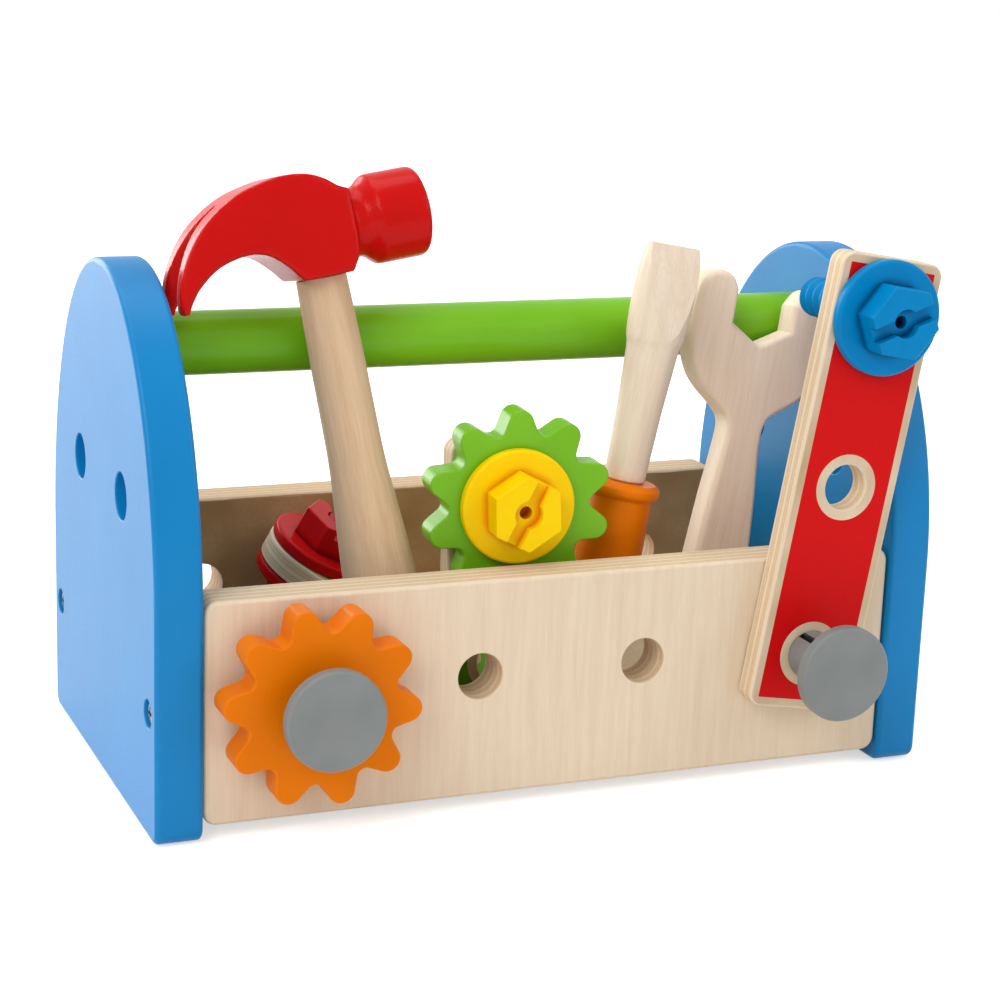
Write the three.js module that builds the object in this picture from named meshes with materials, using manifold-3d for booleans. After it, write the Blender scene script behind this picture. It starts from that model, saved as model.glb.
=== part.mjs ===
// Toy tool box with its tools: two arched end panels, front and back panels, a base board and a round
// handle rod, with a hammer, a screwdriver, a wrench, plank strips, gears, pegs, bolts and nuts.
// Millimetres. X is to the right, Y to the back and Z up. A piece is drawn facing the viewer where it
// can be: its own X to the right, its own Y up and its own Z towards the viewer.
import * as THREE from 'three';
import { mergeVertices } from 'three/addons/utils/BufferGeometryUtils.js';
import Module from 'manifold-3d';

const wasm = await Module();
wasm.setup();

// Box
const box_length = 240;
const box_depth = 128;
const box_height = 152;
const end_panel_thickness = 13.5;
const arch_start_height = 62;
const panel_corner_radius = 4;
const panel_edge_round = 1.2;
const side_panel_thickness = 13.6;
const side_panel_setback = 1.8;
const side_panel_bottom = 4;
const side_panel_top = 68;
const base_thickness = 8;
const base_top = 15.2;
const groove_depth = 4;
const rod_radius = 9.3;
const rod_height = 127;
const rod_socket_depth = 8;

// Holes for pegs and bolts, the same in the panels and in the strips
const hole_radius = 6.8;
const hole_pitch = 51;
const hole_row_height = 39.8;
const end_hole_height = 89.5;
const holes_in_row = 4;

// Panel screws
const screw_height = 36;
const screw_head_radius = 3.7;
const screw_head_length = 2.6;
const screw_shank_radius = 2;
const screw_shank_length = 30;
const screw_recess_depth = 3.6;
const screw_tip_length = 4;

// Plank strips
const strip_width = 34.2;
const strip_end = 17.1;
const strip_thickness = 7.7;
const strip_corner_radius = 4;
const strip_edge_round = 0.8;
const link_end_round = 17;

// Gears
const gear_teeth = 10;
const gear_outer_radius = 28.3;
const gear_bore_radius = 7.9;
const gear_root_radius = 21.5;
const gear_thickness = 10;
const tooth_tip_round = 3.8;
const tooth_tip_sweep_deg = 137;
const tooth_root_round = 2.5;
const tooth_root_sweep_deg = 101;
const gear_edge_round = 0.5;

// Bolts and nuts
const flange_radius = 17;
const flange_thickness = 3.5;
const flange_edge_round = 1;
const hex_across_flats = 19.6;
const bolt_head_height = 9;
const hex_edge_round = 0.9;
const slot_width = 4.6;
const slot_depth = 3.2;
const slot_pocket_radius = 4.2;
const slot_bore_radius = 1.9;
const slot_bore_depth = 8;
const bolt_shank_length = 40;
const thread_crest_radius = 6.2;
const thread_root_radius = 5.3;
const thread_pitch = 4;
const nut_bore_radius = 6.6;
const nut_height = 6.5;

// Pegs
const peg_head_radius = 14.2;
const peg_head_thickness = 4;
const peg_head_edge_round = 1.2;
const peg_collar_radius = 7.4;
const peg_collar_length = 17.1;
const peg_shank_radius = 6.5;
const peg_shank_length = 34;
const peg_slot_width = 2.2;
const peg_slot_start = 5;
const peg_tip_chamfer = 1.2;
const orange_gear_gap = 4.2;
const left_peg_gap = 7.2;

// Hammer
const hammer_handle_length = 134;
const hammer_neck_radius = 7.3;
const hammer_shaft_radius = 8;
const hammer_grip_radius = 10.9;
const hammer_foot_round = 3;
const hammer_tenon_radius = 5.6;
const hammer_tenon_length = 17;
const hammer_head_height = 29.8;
const hammer_head_thickness = 23;
const claw_reach = 44.6;
const claw_drop = 3;
const claw_slot_length = 19;
const claw_slot_width = 12.5;
const cheek_right = 9.9;
const cheek_left = 8.2;
const hammer_edge_round = 1.1;
const face_radius = 13;
const face_start = 17.2;
const face_end = 32.4;
const face_neck_radius = 9.9;
const face_edge_round = 1.6;

// Screwdriver
const driver_grip_length = 69;
const driver_grip_radius = 10.3;
const driver_bead_radius = 11.5;
const driver_bead_height = 4.9;
const driver_foot_round = 3.5;
const driver_shaft_radius = 6.25;
const driver_shaft_length = 72;
const driver_flare_radius = 9.35;
const driver_tip_half_width = 8.1;
const driver_tip_thickness = 3;
const driver_blade_length = 28.5;
const driver_tenon_radius = 5.2;
const driver_tenon_length = 20;

// Wrench
const wrench_length = 112;
const wrench_thickness = 10;
const jaw_width = 20;
const jaw_shift = 0.5;
const jaw_depth = 23;
const wrench_head_left = 24.5;
const wrench_head_right = 21.8;
const wrench_neck_half_width = 6.2;
const wrench_foot_radius = 12;
const wrench_edge_round = 0.9;

// Clearances: a seam between pieces that touch, and an overrun that lets a cutter pass a face
const seam = 0.3;
const lean_gap = 0.5;
const overrun = 2;

// Where the loose pieces lie
const orange_gear_turn_deg = -5.3;
const green_gear_turn_deg = 19.1;
const gear_slip_right = 1.5;
const gear_slip_down = 0.5;
const red_strip_lean_deg = 9.4;
const blue_slot_deg = 20;
const yellow_slot_deg = 63;
const red_slot_deg = 35;
const peg_slot_deg = 118;
const gear_set_x = -6.6;
const gear_set_front = 30.5;
const gear_set_yaw_deg = -5;
const hammer_foot_x = -37.3;
const hammer_foot_front_gap = 0.7;
const hammer_lean_deg = 9.6;
const driver_foot_x = 22.8;
const driver_axis_front = 24;
const driver_lean_deg = -10.3;
const wrench_foot_x = 61.3;
const wrench_foot_front = 25.4;
const wrench_lean_deg = -10.8;
const link_set_x = -44.2;
const link_set_back = 26.6;
const link_yaw_deg = 48;
const link_pitch_deg = 28;
const link_roll_deg = 3;

// Fineness of the round faces
const hole_sides = 20;
const round_sides = 24;
const arch_steps = 24;
const thread_sides = 10;
const thread_steps_per_turn = 4;
const curve_steps = 2;
const fine_curve_steps = 3;

// Places that follow from the sizes
const inner_half_length = box_length / 2 - end_panel_thickness;
const side_panel_outer = box_depth / 2 - side_panel_setback;
const side_panel_inner = side_panel_outer - side_panel_thickness;
const screw_row = side_panel_outer - side_panel_thickness / 2;
const outer_hole_x = hole_pitch * (holes_in_row - 1) / 2;
const strip_front = side_panel_outer + seam + strip_thickness;
const gear_front = side_panel_outer + orange_gear_gap + gear_thickness;

const radians = THREE.MathUtils.degToRad;

// Colours and finishes
function finish(colour, roughness) {
  return new THREE.MeshStandardMaterial({ color: colour, roughness, metalness: 0 });
}
const blue_paint = finish(0x1090d8, 0.42);
const green_paint = finish(0x6ab41e, 0.4);
const birch_ply = finish(0xe0c9ab, 0.6);
const beech_wood = finish(0xdcc3a0, 0.6);
const orange_paint = finish(0xe8780c, 0.4);
const grey_plastic = finish(0x868b87, 0.45);
const red_paint = finish(0xcf1818, 0.4);
const red_lacquer = finish(0xe01010, 0.3);
const blue_plastic = finish(0x0a8fd0, 0.4);
const yellow_plastic = finish(0xffd60a, 0.4);
const red_plastic = finish(0xb81420, 0.4);
const screw_steel = new THREE.MeshStandardMaterial({ color: 0x9a9a98, roughness: 0.35, metalness: 1 });

// Joining and cutting
function solidOf(geometry) {
  const bare = geometry.clone();
  bare.deleteAttribute('normal');
  bare.deleteAttribute('uv');
  const merged = mergeVertices(bare);
  return new wasm.Manifold(new wasm.Mesh({
    numProp: 3,
    vertProperties: new Float32Array(merged.attributes.position.array),
    triVerts: new Uint32Array(merged.index.array),
  }));
}

function geometryOf(solid) {
  const mesh = solid.getMesh();
  const geometry = new THREE.BufferGeometry();
  geometry.setAttribute('position', new THREE.BufferAttribute(mesh.vertProperties, 3));
  geometry.setIndex(new THREE.BufferAttribute(mesh.triVerts, 1));
  geometry.computeVertexNormals();
  return geometry;
}

function cut(geometry, tools) {
  return geometryOf(tools.reduce((solid, tool) => solid.subtract(solidOf(tool)), solidOf(geometry)));
}

function join(geometries) {
  return geometryOf(geometries.map(solidOf).reduce((whole, solid) => whole.add(solid)));
}

// Basic shapes, all drawn in XY and thick along Z
function plate(shape, thickness, edge_round, steps = curve_steps) {
  const geometry = new THREE.ExtrudeGeometry(shape, {
    depth: thickness - 2 * edge_round,
    bevelEnabled: edge_round > 0,
    bevelSize: edge_round,
    bevelOffset: -edge_round,
    bevelThickness: edge_round,
    bevelSegments: 1,
    curveSegments: steps,
  });
  return geometry.translate(0, 0, edge_round);
}

function disc(radius, length, sides = hole_sides) {
  const geometry = new THREE.CylinderGeometry(radius, radius, length, sides);
  return geometry.rotateX(Math.PI / 2).translate(0, 0, length / 2);
}

function turned(profile, sides = round_sides) {
  const points = profile.map(([radius, height]) => new THREE.Vector2(radius, height));
  return new THREE.LatheGeometry(points, sides).rotateX(Math.PI / 2);
}

function roundedRectangle(left, bottom, width, height, radius) {
  const shape = new THREE.Shape();
  const right = left + width;
  const top = bottom + height;
  shape.moveTo(left + radius, bottom);
  shape.lineTo(right - radius, bottom);
  shape.absarc(right - radius, bottom + radius, radius, -Math.PI / 2, 0, false);
  shape.absarc(right - radius, top - radius, radius, 0, Math.PI / 2, false);
  shape.absarc(left + radius, top - radius, radius, Math.PI / 2, Math.PI, false);
  shape.absarc(left + radius, bottom + radius, radius, Math.PI, Math.PI * 3 / 2, false);
  return shape;
}

// A cutter or a peg that lies along Z through a plate that starts at zero
function throughHole(x, y, radius, thickness) {
  return disc(radius, thickness + 2 * overrun).translate(x, y, -overrun);
}

// End panel: its own X runs to the back of the box, and its own Z to the right
function endPanel(outward) {
  const half = box_depth / 2;
  const outline = new THREE.Shape();
  outline.moveTo(-half + panel_corner_radius, 0);
  outline.lineTo(half - panel_corner_radius, 0);
  outline.absarc(half - panel_corner_radius, panel_corner_radius, panel_corner_radius, -Math.PI / 2, 0);
  const arch_rise = box_height - arch_start_height;
  for (let step = 0; step <= arch_steps; step += 1) {
    const angle = Math.PI * step / arch_steps;
    outline.lineTo(half * Math.cos(angle), arch_start_height + arch_rise * Math.sin(angle));
  }
  outline.absarc(-half + panel_corner_radius, panel_corner_radius, panel_corner_radius, Math.PI, Math.PI * 3 / 2);
  const outer_face = outward > 0 ? end_panel_thickness : 0;
  const tools = [-1, 1].map((side) => (
    throughHole(side * hole_pitch / 2, end_hole_height, hole_radius, end_panel_thickness)));
  for (const side of [-1, 1]) {
    const recess_length = screw_recess_depth + overrun;
    const recess_start = outward > 0 ? outer_face - screw_recess_depth : -overrun;
    tools.push(throughHole(side * screw_row, screw_height, screw_shank_radius + seam, end_panel_thickness));
    tools.push(disc(screw_head_radius + seam, recess_length)
      .translate(side * screw_row, screw_height, recess_start));
  }
  const socket_length = rod_socket_depth + overrun;
  const socket_start = outward > 0 ? -overrun : end_panel_thickness - rod_socket_depth;
  tools.push(disc(rod_radius + seam, socket_length, round_sides).translate(0, rod_height, socket_start));
  return cut(plate(outline, end_panel_thickness, panel_edge_round), tools);
}

// Front or back panel: its own Z points outwards, so the groove for the base is in the face at zero
function sidePanel() {
  const half = inner_half_length - seam;
  const height = side_panel_top - side_panel_bottom;
  const outline = roundedRectangle(-half, side_panel_bottom, 2 * half, height, panel_corner_radius);
  const tools = [];
  for (let hole = 0; hole < holes_in_row; hole += 1) {
    const x = -outer_hole_x + hole * hole_pitch;
    tools.push(throughHole(x, hole_row_height, hole_radius, side_panel_thickness));
  }
  const groove_height = base_thickness + 2 * seam;
  const groove = new THREE.BoxGeometry(2 * (half + overrun), groove_height, 2 * groove_depth);
  tools.push(groove.translate(0, base_top - base_thickness / 2, 0));
  const pilot_length = screw_recess_depth + screw_shank_length - end_panel_thickness + overrun;
  for (const side of [-1, 1]) {
    const pilot = disc(screw_shank_radius + seam, pilot_length + overrun).rotateY(-side * Math.PI / 2);
    tools.push(pilot.translate(side * (half + overrun), screw_height, side_panel_thickness / 2));
  }
  return cut(plate(outline, side_panel_thickness, panel_edge_round), tools);
}

function basePanel() {
  const half_length = inner_half_length - seam;
  const half_depth = side_panel_inner + groove_depth - seam;
  const outline = roundedRectangle(-half_length, -half_depth, 2 * half_length, 2 * half_depth, seam);
  return plate(outline, base_thickness, 0);
}

function handleRod() {
  const length = 2 * (inner_half_length + rod_socket_depth - seam);
  const chamfer = panel_edge_round;
  return turned([
    [0, 0], [rod_radius - chamfer, 0], [rod_radius, chamfer],
    [rod_radius, length - chamfer], [rod_radius - chamfer, length], [0, length],
  ], round_sides).translate(0, 0, -length / 2);
}

// Screw: the head's top is at zero and the shank runs down
function panelScrew() {
  const tip = -screw_head_length - screw_shank_length;
  const rim = screw_head_length / 2;
  return turned([
    [0, tip], [screw_shank_radius / 2, tip + seam], [screw_shank_radius, tip + screw_tip_length],
    [screw_shank_radius, -screw_head_length], [screw_head_radius, -screw_head_length],
    [screw_head_radius, -rim], [screw_head_radius * 0.7, 0], [0, 0],
  ], hole_sides / 2);
}

// Strip with its lowest hole at the origin
function strip(hole_count, corner_radius = strip_corner_radius) {
  const length = (hole_count - 1) * hole_pitch + 2 * strip_end;
  const outline = roundedRectangle(-strip_width / 2, -strip_end, strip_width, length, corner_radius);
  const holes = Array.from({ length: hole_count }, (_, index) => (
    throughHole(0, index * hole_pitch, hole_radius, strip_thickness)));
  return cut(plate(outline, strip_thickness, strip_edge_round, fine_curve_steps), holes);
}

// Gear with round-tipped teeth: an arc for each tip and each root, joined by straight flanks
function gear() {
  const outline = new THREE.Shape();
  const pitch_angle = 2 * Math.PI / gear_teeth;
  const tip_centre = gear_outer_radius - tooth_tip_round;
  const root_centre = gear_root_radius + tooth_root_round;
  const tip_sweep = radians(tooth_tip_sweep_deg);
  const root_sweep = radians(tooth_root_sweep_deg);
  for (let tooth = 0; tooth < gear_teeth; tooth += 1) {
    const angle = tooth * pitch_angle;
    const valley = angle + pitch_angle / 2;
    for (let step = -2; step <= 2; step += 1) {
      const direction = angle + tip_sweep * step / 4;
      outline[tooth === 0 && step === -2 ? 'moveTo' : 'lineTo'](
        tip_centre * Math.cos(angle) + tooth_tip_round * Math.cos(direction),
        tip_centre * Math.sin(angle) + tooth_tip_round * Math.sin(direction));
    }
    for (let step = -1; step <= 1; step += 1) {
      const direction = valley + Math.PI - root_sweep * step / 2;
      outline.lineTo(
        root_centre * Math.cos(valley) + tooth_root_round * Math.cos(direction),
        root_centre * Math.sin(valley) + tooth_root_round * Math.sin(direction));
    }
  }
  const bore = throughHole(0, 0, gear_bore_radius, gear_thickness);
  return cut(plate(outline, gear_thickness, gear_edge_round), [bore]);
}

function hexagon(across_flats) {
  const corner_radius = across_flats / Math.sqrt(3);
  const shape = new THREE.Shape();
  for (let corner = 0; corner < 6; corner += 1) {
    const angle = Math.PI * (2 * corner + 1) / 6;
    shape[corner ? 'lineTo' : 'moveTo'](corner_radius * Math.cos(angle), corner_radius * Math.sin(angle));
  }
  return shape;
}

function flange() {
  return turned([
    [0, 0], [flange_radius - flange_edge_round / 2, 0], [flange_radius, flange_edge_round],
    [flange_radius, flange_thickness - flange_edge_round],
    [flange_radius - flange_edge_round, flange_thickness], [0, flange_thickness],
  ]);
}

// A round-crested helical thread as one closed skin, from zero down to the tip
function threadedShank() {
  const rows = Math.round(bolt_shank_length / thread_pitch * thread_steps_per_turn);
  const top = flange_thickness / 2;
  const middle = (thread_crest_radius + thread_root_radius) / 2;
  const wave = (thread_crest_radius - thread_root_radius) / 2;
  const positions = [0, 0, top, 0, 0, -bolt_shank_length];
  for (let row = 0; row <= rows; row += 1) {
    const z = row === 0 ? top : -bolt_shank_length * row / rows;
    const tip_limit = thread_root_radius - thread_pitch / 4 + (bolt_shank_length + z);
    for (let side = 0; side < thread_sides; side += 1) {
      const angle = 2 * Math.PI * side / thread_sides;
      const ridge = middle + wave * Math.cos(2 * Math.PI * z / thread_pitch - angle);
      const radius = Math.min(ridge, tip_limit);
      positions.push(radius * Math.cos(angle), radius * Math.sin(angle), z);
    }
  }
  const corner = (row, side) => 2 + row * thread_sides + side % thread_sides;
  const faces = [];
  for (let side = 0; side < thread_sides; side += 1) {
    faces.push(0, corner(0, side), corner(0, side + 1));
    faces.push(1, corner(rows, side + 1), corner(rows, side));
    for (let row = 0; row < rows; row += 1) {
      const [a, b] = [corner(row, side), corner(row, side + 1)];
      const [c, d] = [corner(row + 1, side + 1), corner(row + 1, side)];
      faces.push(a, d, c, a, c, b);
    }
  }
  const geometry = new THREE.BufferGeometry();
  geometry.setAttribute('position', new THREE.Float32BufferAttribute(positions, 3));
  geometry.setIndex(faces);
  return geometry;
}

// Bolt: the flange's underside is at zero, the hexagon points up and the shank down. A screwdriver slot
// with a round pocket in its middle crosses the hexagon
function bolt(slot_deg) {
  const top = flange_thickness + bolt_head_height;
  const hexagon_height = bolt_head_height + flange_thickness / 2;
  const head = plate(hexagon(hex_across_flats), hexagon_height, hex_edge_round)
    .translate(0, 0, flange_thickness / 2);
  const slot = new THREE.BoxGeometry(2 * hex_across_flats, slot_width, 2 * slot_depth);
  const tools = [
    slot.translate(0, 0, top),
    disc(slot_pocket_radius, 2 * slot_depth, hole_sides / 2).translate(0, 0, top - slot_depth),
    disc(slot_bore_radius, slot_bore_depth + overrun, hole_sides / 2).translate(0, 0, top - slot_bore_depth),
  ];
  return cut(join([flange(), head, threadedShank()]), tools).rotateZ(radians(slot_deg));
}

// Nut: the flange's face is at zero and the hexagon points down, away from what it clamps
function nut() {
  const hexagon_height = nut_height + flange_thickness / 2;
  const body = plate(hexagon(hex_across_flats), hexagon_height, hex_edge_round)
    .translate(0, 0, -flange_thickness - nut_height);
  const bore = disc(nut_bore_radius, flange_thickness + nut_height + 2 * overrun)
    .translate(0, 0, -flange_thickness - nut_height - overrun);
  return cut(join([flange().translate(0, 0, -flange_thickness), body]), [bore]);
}

// Peg: the head's underside is at zero. A collar, on which a gear turns, leads to a thinner shank, and
// both are split, so that the shank can spring together in a hole
function peg() {
  const tip = -peg_shank_length;
  const profile = turned([
    [0, tip], [peg_shank_radius - peg_tip_chamfer, tip], [peg_shank_radius, tip + peg_tip_chamfer],
    [peg_shank_radius, -peg_collar_length], [peg_collar_radius, -peg_collar_length], [peg_collar_radius, 0],
    [peg_head_radius - peg_head_edge_round / 2, 0],
    [peg_head_radius, peg_head_edge_round / 2], [peg_head_radius, peg_head_thickness - peg_head_edge_round],
    [peg_head_radius - peg_head_edge_round, peg_head_thickness], [0, peg_head_thickness],
  ]);
  const slot_length = peg_shank_length - peg_slot_start + overrun;
  const slot = new THREE.BoxGeometry(4 * peg_shank_radius, peg_slot_width, slot_length);
  slot.translate(0, 0, -peg_slot_start - slot_length / 2);
  return cut(profile, [slot.rotateZ(radians(peg_slot_deg))]);
}

// Hammer handle: turned, upright on its foot at zero, with a tenon that goes up into the head
function hammerHandle() {
  const length = hammer_handle_length;
  return turned([
    [0, 0], [hammer_grip_radius - hammer_foot_round, 0], [hammer_grip_radius - seam, hammer_foot_round],
    [hammer_grip_radius, length * 0.16], [hammer_grip_radius, length * 0.3],
    [hammer_grip_radius * 0.94, length * 0.4], [hammer_grip_radius * 0.84, length * 0.5],
    [hammer_shaft_radius * 1.03, length * 0.6], [hammer_shaft_radius, length * 0.7],
    [hammer_shaft_radius * 0.98, length * 0.84], [hammer_neck_radius, length - seam],
    [hammer_tenon_radius, length - seam], [hammer_tenon_radius, length + hammer_tenon_length - seam],
    [0, length + hammer_tenon_length - seam],
  ]);
}

// Hammer head: a cheek that runs on into the claw, and a turned striking face. Its underside is at zero
function hammerHead() {
  const outline = new THREE.Shape();
  const at = ([reach_share, height_share]) => new THREE.Vector2(
    claw_reach * reach_share, hammer_head_height * height_share);
  const claw_top_shares = [
    [0.15, 0.82], [0.09, 0.89], [0, 0.96], [-0.1, 0.995], [-0.23, 1], [-0.35, 0.97], [-0.48, 0.92], [-0.62, 0.82],
    [-0.76, 0.67], [-0.87, 0.48], [-0.95, 0.27], [-0.99, 0.08],
  ];
  const claw_under_shares = [[-0.92, -0.01], [-0.84, 0.13], [-0.7, 0.27], [-0.52, 0.33], [-0.38, 0.29], [-0.26, 0.14]];
  const cheek_foot_shares = [[0.17, 0.05], [0.2, 0.12], [0.215, 0.2]];
  outline.moveTo(-cheek_left, 0);
  outline.lineTo(cheek_right * 0.7, 0);
  cheek_foot_shares.map(at).forEach((point) => outline.lineTo(point.x, point.y));
  outline.lineTo(cheek_right, hammer_head_height * 0.32);
  outline.lineTo(cheek_right, hammer_head_height * 0.775);
  claw_top_shares.map(at).forEach((point) => outline.lineTo(point.x, point.y));
  outline.lineTo(-claw_reach, -claw_drop * 0.5);
  outline.lineTo(-claw_reach * 0.985, -claw_drop);
  outline.lineTo(-claw_reach * 0.95, -claw_drop);
  claw_under_shares.map(at).forEach((point) => outline.lineTo(point.x, point.y));
  const cheek = plate(outline, hammer_head_thickness, hammer_edge_round, fine_curve_steps)
    .translate(0, 0, -hammer_head_thickness / 2);
  const neck_start = cheek_right - face_edge_round;
  const middle = hammer_head_height * 0.44;
  const face = turned([
    [0, neck_start], [face_neck_radius + seam, neck_start], [face_neck_radius, cheek_right + face_edge_round],
    [face_neck_radius + seam, face_start - 2 * face_edge_round], [face_radius - seam, face_start],
    [face_radius, face_start + face_edge_round],
    [face_radius, face_end - face_edge_round], [face_radius - face_edge_round, face_end], [0, face_end],
  ]).rotateY(Math.PI / 2).translate(0, middle, 0);
  const slot = new THREE.Shape();
  const slot_shares = [[1, 0.08], [0.75, 0.2], [0.5, 0.38], [0.36, 0.56], [0.2, 0.8], [0, 0.98], [-0.1, 1.02]];
  const slot_edge = slot_shares.map(([depth_share, width_share]) => new THREE.Vector2(
    -claw_reach + claw_slot_length * depth_share, claw_slot_width / 2 * width_share));
  slot.setFromPoints([...slot_edge, ...slot_edge.toReversed().map(({ x, y }) => new THREE.Vector2(x, -y))]);
  const slot_tool = plate(slot, 2 * hammer_head_height + 2 * claw_drop, 0).rotateX(Math.PI / 2)
    .translate(0, 1.5 * hammer_head_height + claw_drop, 0);
  const socket = disc(hammer_tenon_radius + seam, hammer_tenon_length + overrun, round_sides)
    .rotateX(-Math.PI / 2).translate(0, -overrun, 0);
  return cut(join([cheek, face]), [slot_tool, socket]);
}

// Screwdriver handle: turned, with a bead at its top, and a socket for the shaft
function driverHandle() {
  const bead_bottom = driver_grip_length - driver_bead_height;
  const bead_middle = driver_grip_length - driver_bead_height / 2;
  const foot_radius = driver_grip_radius * 0.96;
  const body = turned([
    [0, 0], [foot_radius - driver_foot_round, 0], [foot_radius - seam, driver_foot_round * 0.6],
    [foot_radius, driver_foot_round], [driver_grip_radius, driver_grip_length * 0.4],
    [driver_grip_radius * 0.94, bead_bottom - seam], [driver_grip_radius * 0.96, bead_bottom],
    [driver_bead_radius - seam, bead_middle - driver_bead_height / 4],
    [driver_bead_radius, bead_middle], [driver_bead_radius - seam, bead_middle + driver_bead_height / 4],
    [driver_grip_radius * 0.95, driver_grip_length], [0, driver_grip_length],
  ]);
  const socket = disc(driver_tenon_radius + seam, driver_tenon_length + overrun)
    .translate(0, 0, driver_grip_length - driver_tenon_length);
  return cut(body, [socket]);
}

// Screwdriver shaft: turned with a flare, then dressed to a blade by two curved flats
function driverShaft() {
  const start = driver_grip_length + seam;
  const blade_top = start + driver_shaft_length;
  const blade_bottom = blade_top - driver_blade_length;
  const tenon_bottom = start - driver_tenon_length + seam;
  const blade = (share) => blade_bottom + driver_blade_length * share;
  const round = turned([
    [0, tenon_bottom], [driver_tenon_radius, tenon_bottom], [driver_tenon_radius, start],
    [driver_shaft_radius, start], [driver_shaft_radius * 1.1, blade(-0.75)],
    [driver_shaft_radius * 1.2, blade(-0.37)], [driver_flare_radius * 0.85, blade(-0.11)],
    [driver_flare_radius * 0.935, blade(0.02)], [driver_flare_radius * 0.98, blade(0.2)],
    [driver_flare_radius, blade(0.45)], [driver_flare_radius * 0.985, blade(0.72)],
    [driver_flare_radius * 0.94, blade(0.86)],
    [driver_tip_half_width, blade_top], [0, blade_top],
  ]);
  const half_tip = driver_tip_thickness / 2;
  const full = driver_flare_radius + overrun;
  const side_view = new THREE.Shape();
  const flat_start = driver_flare_radius * 0.94;
  side_view.moveTo(-full, tenon_bottom - overrun);
  side_view.lineTo(full, tenon_bottom - overrun);
  side_view.lineTo(full, blade_bottom - overrun);
  const flat_point = (share) => flat_start - (flat_start - half_tip) * share ** 1.5;
  const steps = curve_steps + 1;
  side_view.lineTo(flat_point(0), blade(0));
  for (let step = 1; step <= steps; step += 1) {
    side_view.lineTo(flat_point(step / steps), blade(step / steps));
  }
  for (let step = steps; step >= 0; step -= 1) {
    side_view.lineTo(-flat_point(step / steps), blade(step / steps));
  }
  side_view.lineTo(-full, blade_bottom - overrun);
  const keep = plate(side_view, 2 * full, 0).translate(0, 0, -full).rotateX(Math.PI / 2).rotateZ(Math.PI / 2);
  return geometryOf(solidOf(round).intersect(solidOf(keep)));
}

// Wrench: a flat board with an open jaw at its top that fits the hexagons, upright on a round foot
function wrench() {
  const throat = wrench_length + jaw_width * 0.15;
  const centre = wrench_length;
  const jaw_left = -jaw_width / 2 - jaw_shift;
  const jaw_right = jaw_width / 2 - jaw_shift;
  const jaw_drop = jaw_width / 2 * Math.tan(Math.PI / 6);
  const left = (share, height_share) => new THREE.Vector2(
    -wrench_head_left * share, centre + wrench_head_left * height_share);
  const right = (share, height_share) => new THREE.Vector2(
    wrench_head_right * share, centre + wrench_head_left * height_share);
  const outline = new THREE.Shape();
  outline.absarc(0, wrench_foot_radius, wrench_foot_radius, Math.PI * 1.03, Math.PI * 1.97, false);
  outline.splineThru([
    new THREE.Vector2(wrench_neck_half_width * 1.39, wrench_length * 0.5),
    new THREE.Vector2(wrench_neck_half_width * 1.13, wrench_length * 0.64),
    new THREE.Vector2(wrench_neck_half_width, wrench_length * 0.73),
  ]);
  outline.splineThru([
    right(0.34, -1.02), right(0.46, -0.93), right(0.72, -0.77), right(0.88, -0.62), right(0.98, -0.3), right(1, 0),
    right(0.95, 0.36), right(0.84, 0.58),
  ]);
  outline.splineThru([right(0.7, 0.68), right(0.56, 0.62)]);
  outline.lineTo(jaw_right, throat + jaw_depth * 0.35);
  outline.lineTo(jaw_right, throat);
  outline.lineTo(jaw_width * 0.1 - jaw_shift, throat - jaw_drop * 0.8);
  outline.lineTo(-jaw_shift, throat - jaw_drop * 0.92);
  outline.lineTo(-jaw_width * 0.1 - jaw_shift, throat - jaw_drop * 0.8);
  outline.lineTo(jaw_left, throat);
  outline.lineTo(jaw_left, throat + jaw_depth * 0.45);
  outline.splineThru([
    left(0.46, 0.6), left(0.52, 0.685), left(0.62, 0.735), left(0.73, 0.745), left(0.83, 0.714), left(0.91, 0.645),
  ]);
  outline.splineThru([
    left(0.965, 0.54), left(1, 0.33), left(1, -0.04), left(0.965, -0.27), left(0.9, -0.45), left(0.8, -0.62),
    left(0.66, -0.76), left(0.5, -0.88), left(0.37, -0.985), left(0.285, -1.08),
  ]);
  outline.splineThru([
    new THREE.Vector2(-wrench_neck_half_width, wrench_length * 0.73),
    new THREE.Vector2(-wrench_neck_half_width * 1.13, wrench_length * 0.64),
    new THREE.Vector2(-wrench_neck_half_width * 1.39, wrench_length * 0.5),
  ]);
  return plate(outline, wrench_thickness, wrench_edge_round, fine_curve_steps)
    .translate(0, 0, -wrench_thickness / 2);
}

// Assembly
const tool_box = new THREE.Group();

function place(parent, name, geometry, material, position = [0, 0, 0], rotation = [0, 0, 0]) {
  const mesh = new THREE.Mesh(geometry, material);
  mesh.name = name;
  mesh.position.set(...position);
  mesh.rotation.set(...rotation);
  parent.add(mesh);
  return mesh;
}

const facing_front = [Math.PI / 2, 0, 0];
const facing_back = [Math.PI / 2, Math.PI, 0];
const facing_right = [Math.PI / 2, Math.PI / 2, 0];

place(tool_box, 'end_panel_left', endPanel(-1), blue_paint, [-box_length / 2, 0, 0], facing_right);
place(tool_box, 'end_panel_right', endPanel(1), blue_paint, [inner_half_length, 0, 0], facing_right);
place(tool_box, 'front_panel', sidePanel(), birch_ply, [0, -side_panel_inner, 0], facing_front);
place(tool_box, 'back_panel', sidePanel(), birch_ply, [0, side_panel_inner, 0], facing_back);
place(tool_box, 'base_panel', basePanel(), birch_ply, [0, 0, base_top - base_thickness]);
place(tool_box, 'handle_rod', handleRod(), green_paint, [0, 0, rod_height], [0, Math.PI / 2, 0]);

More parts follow.
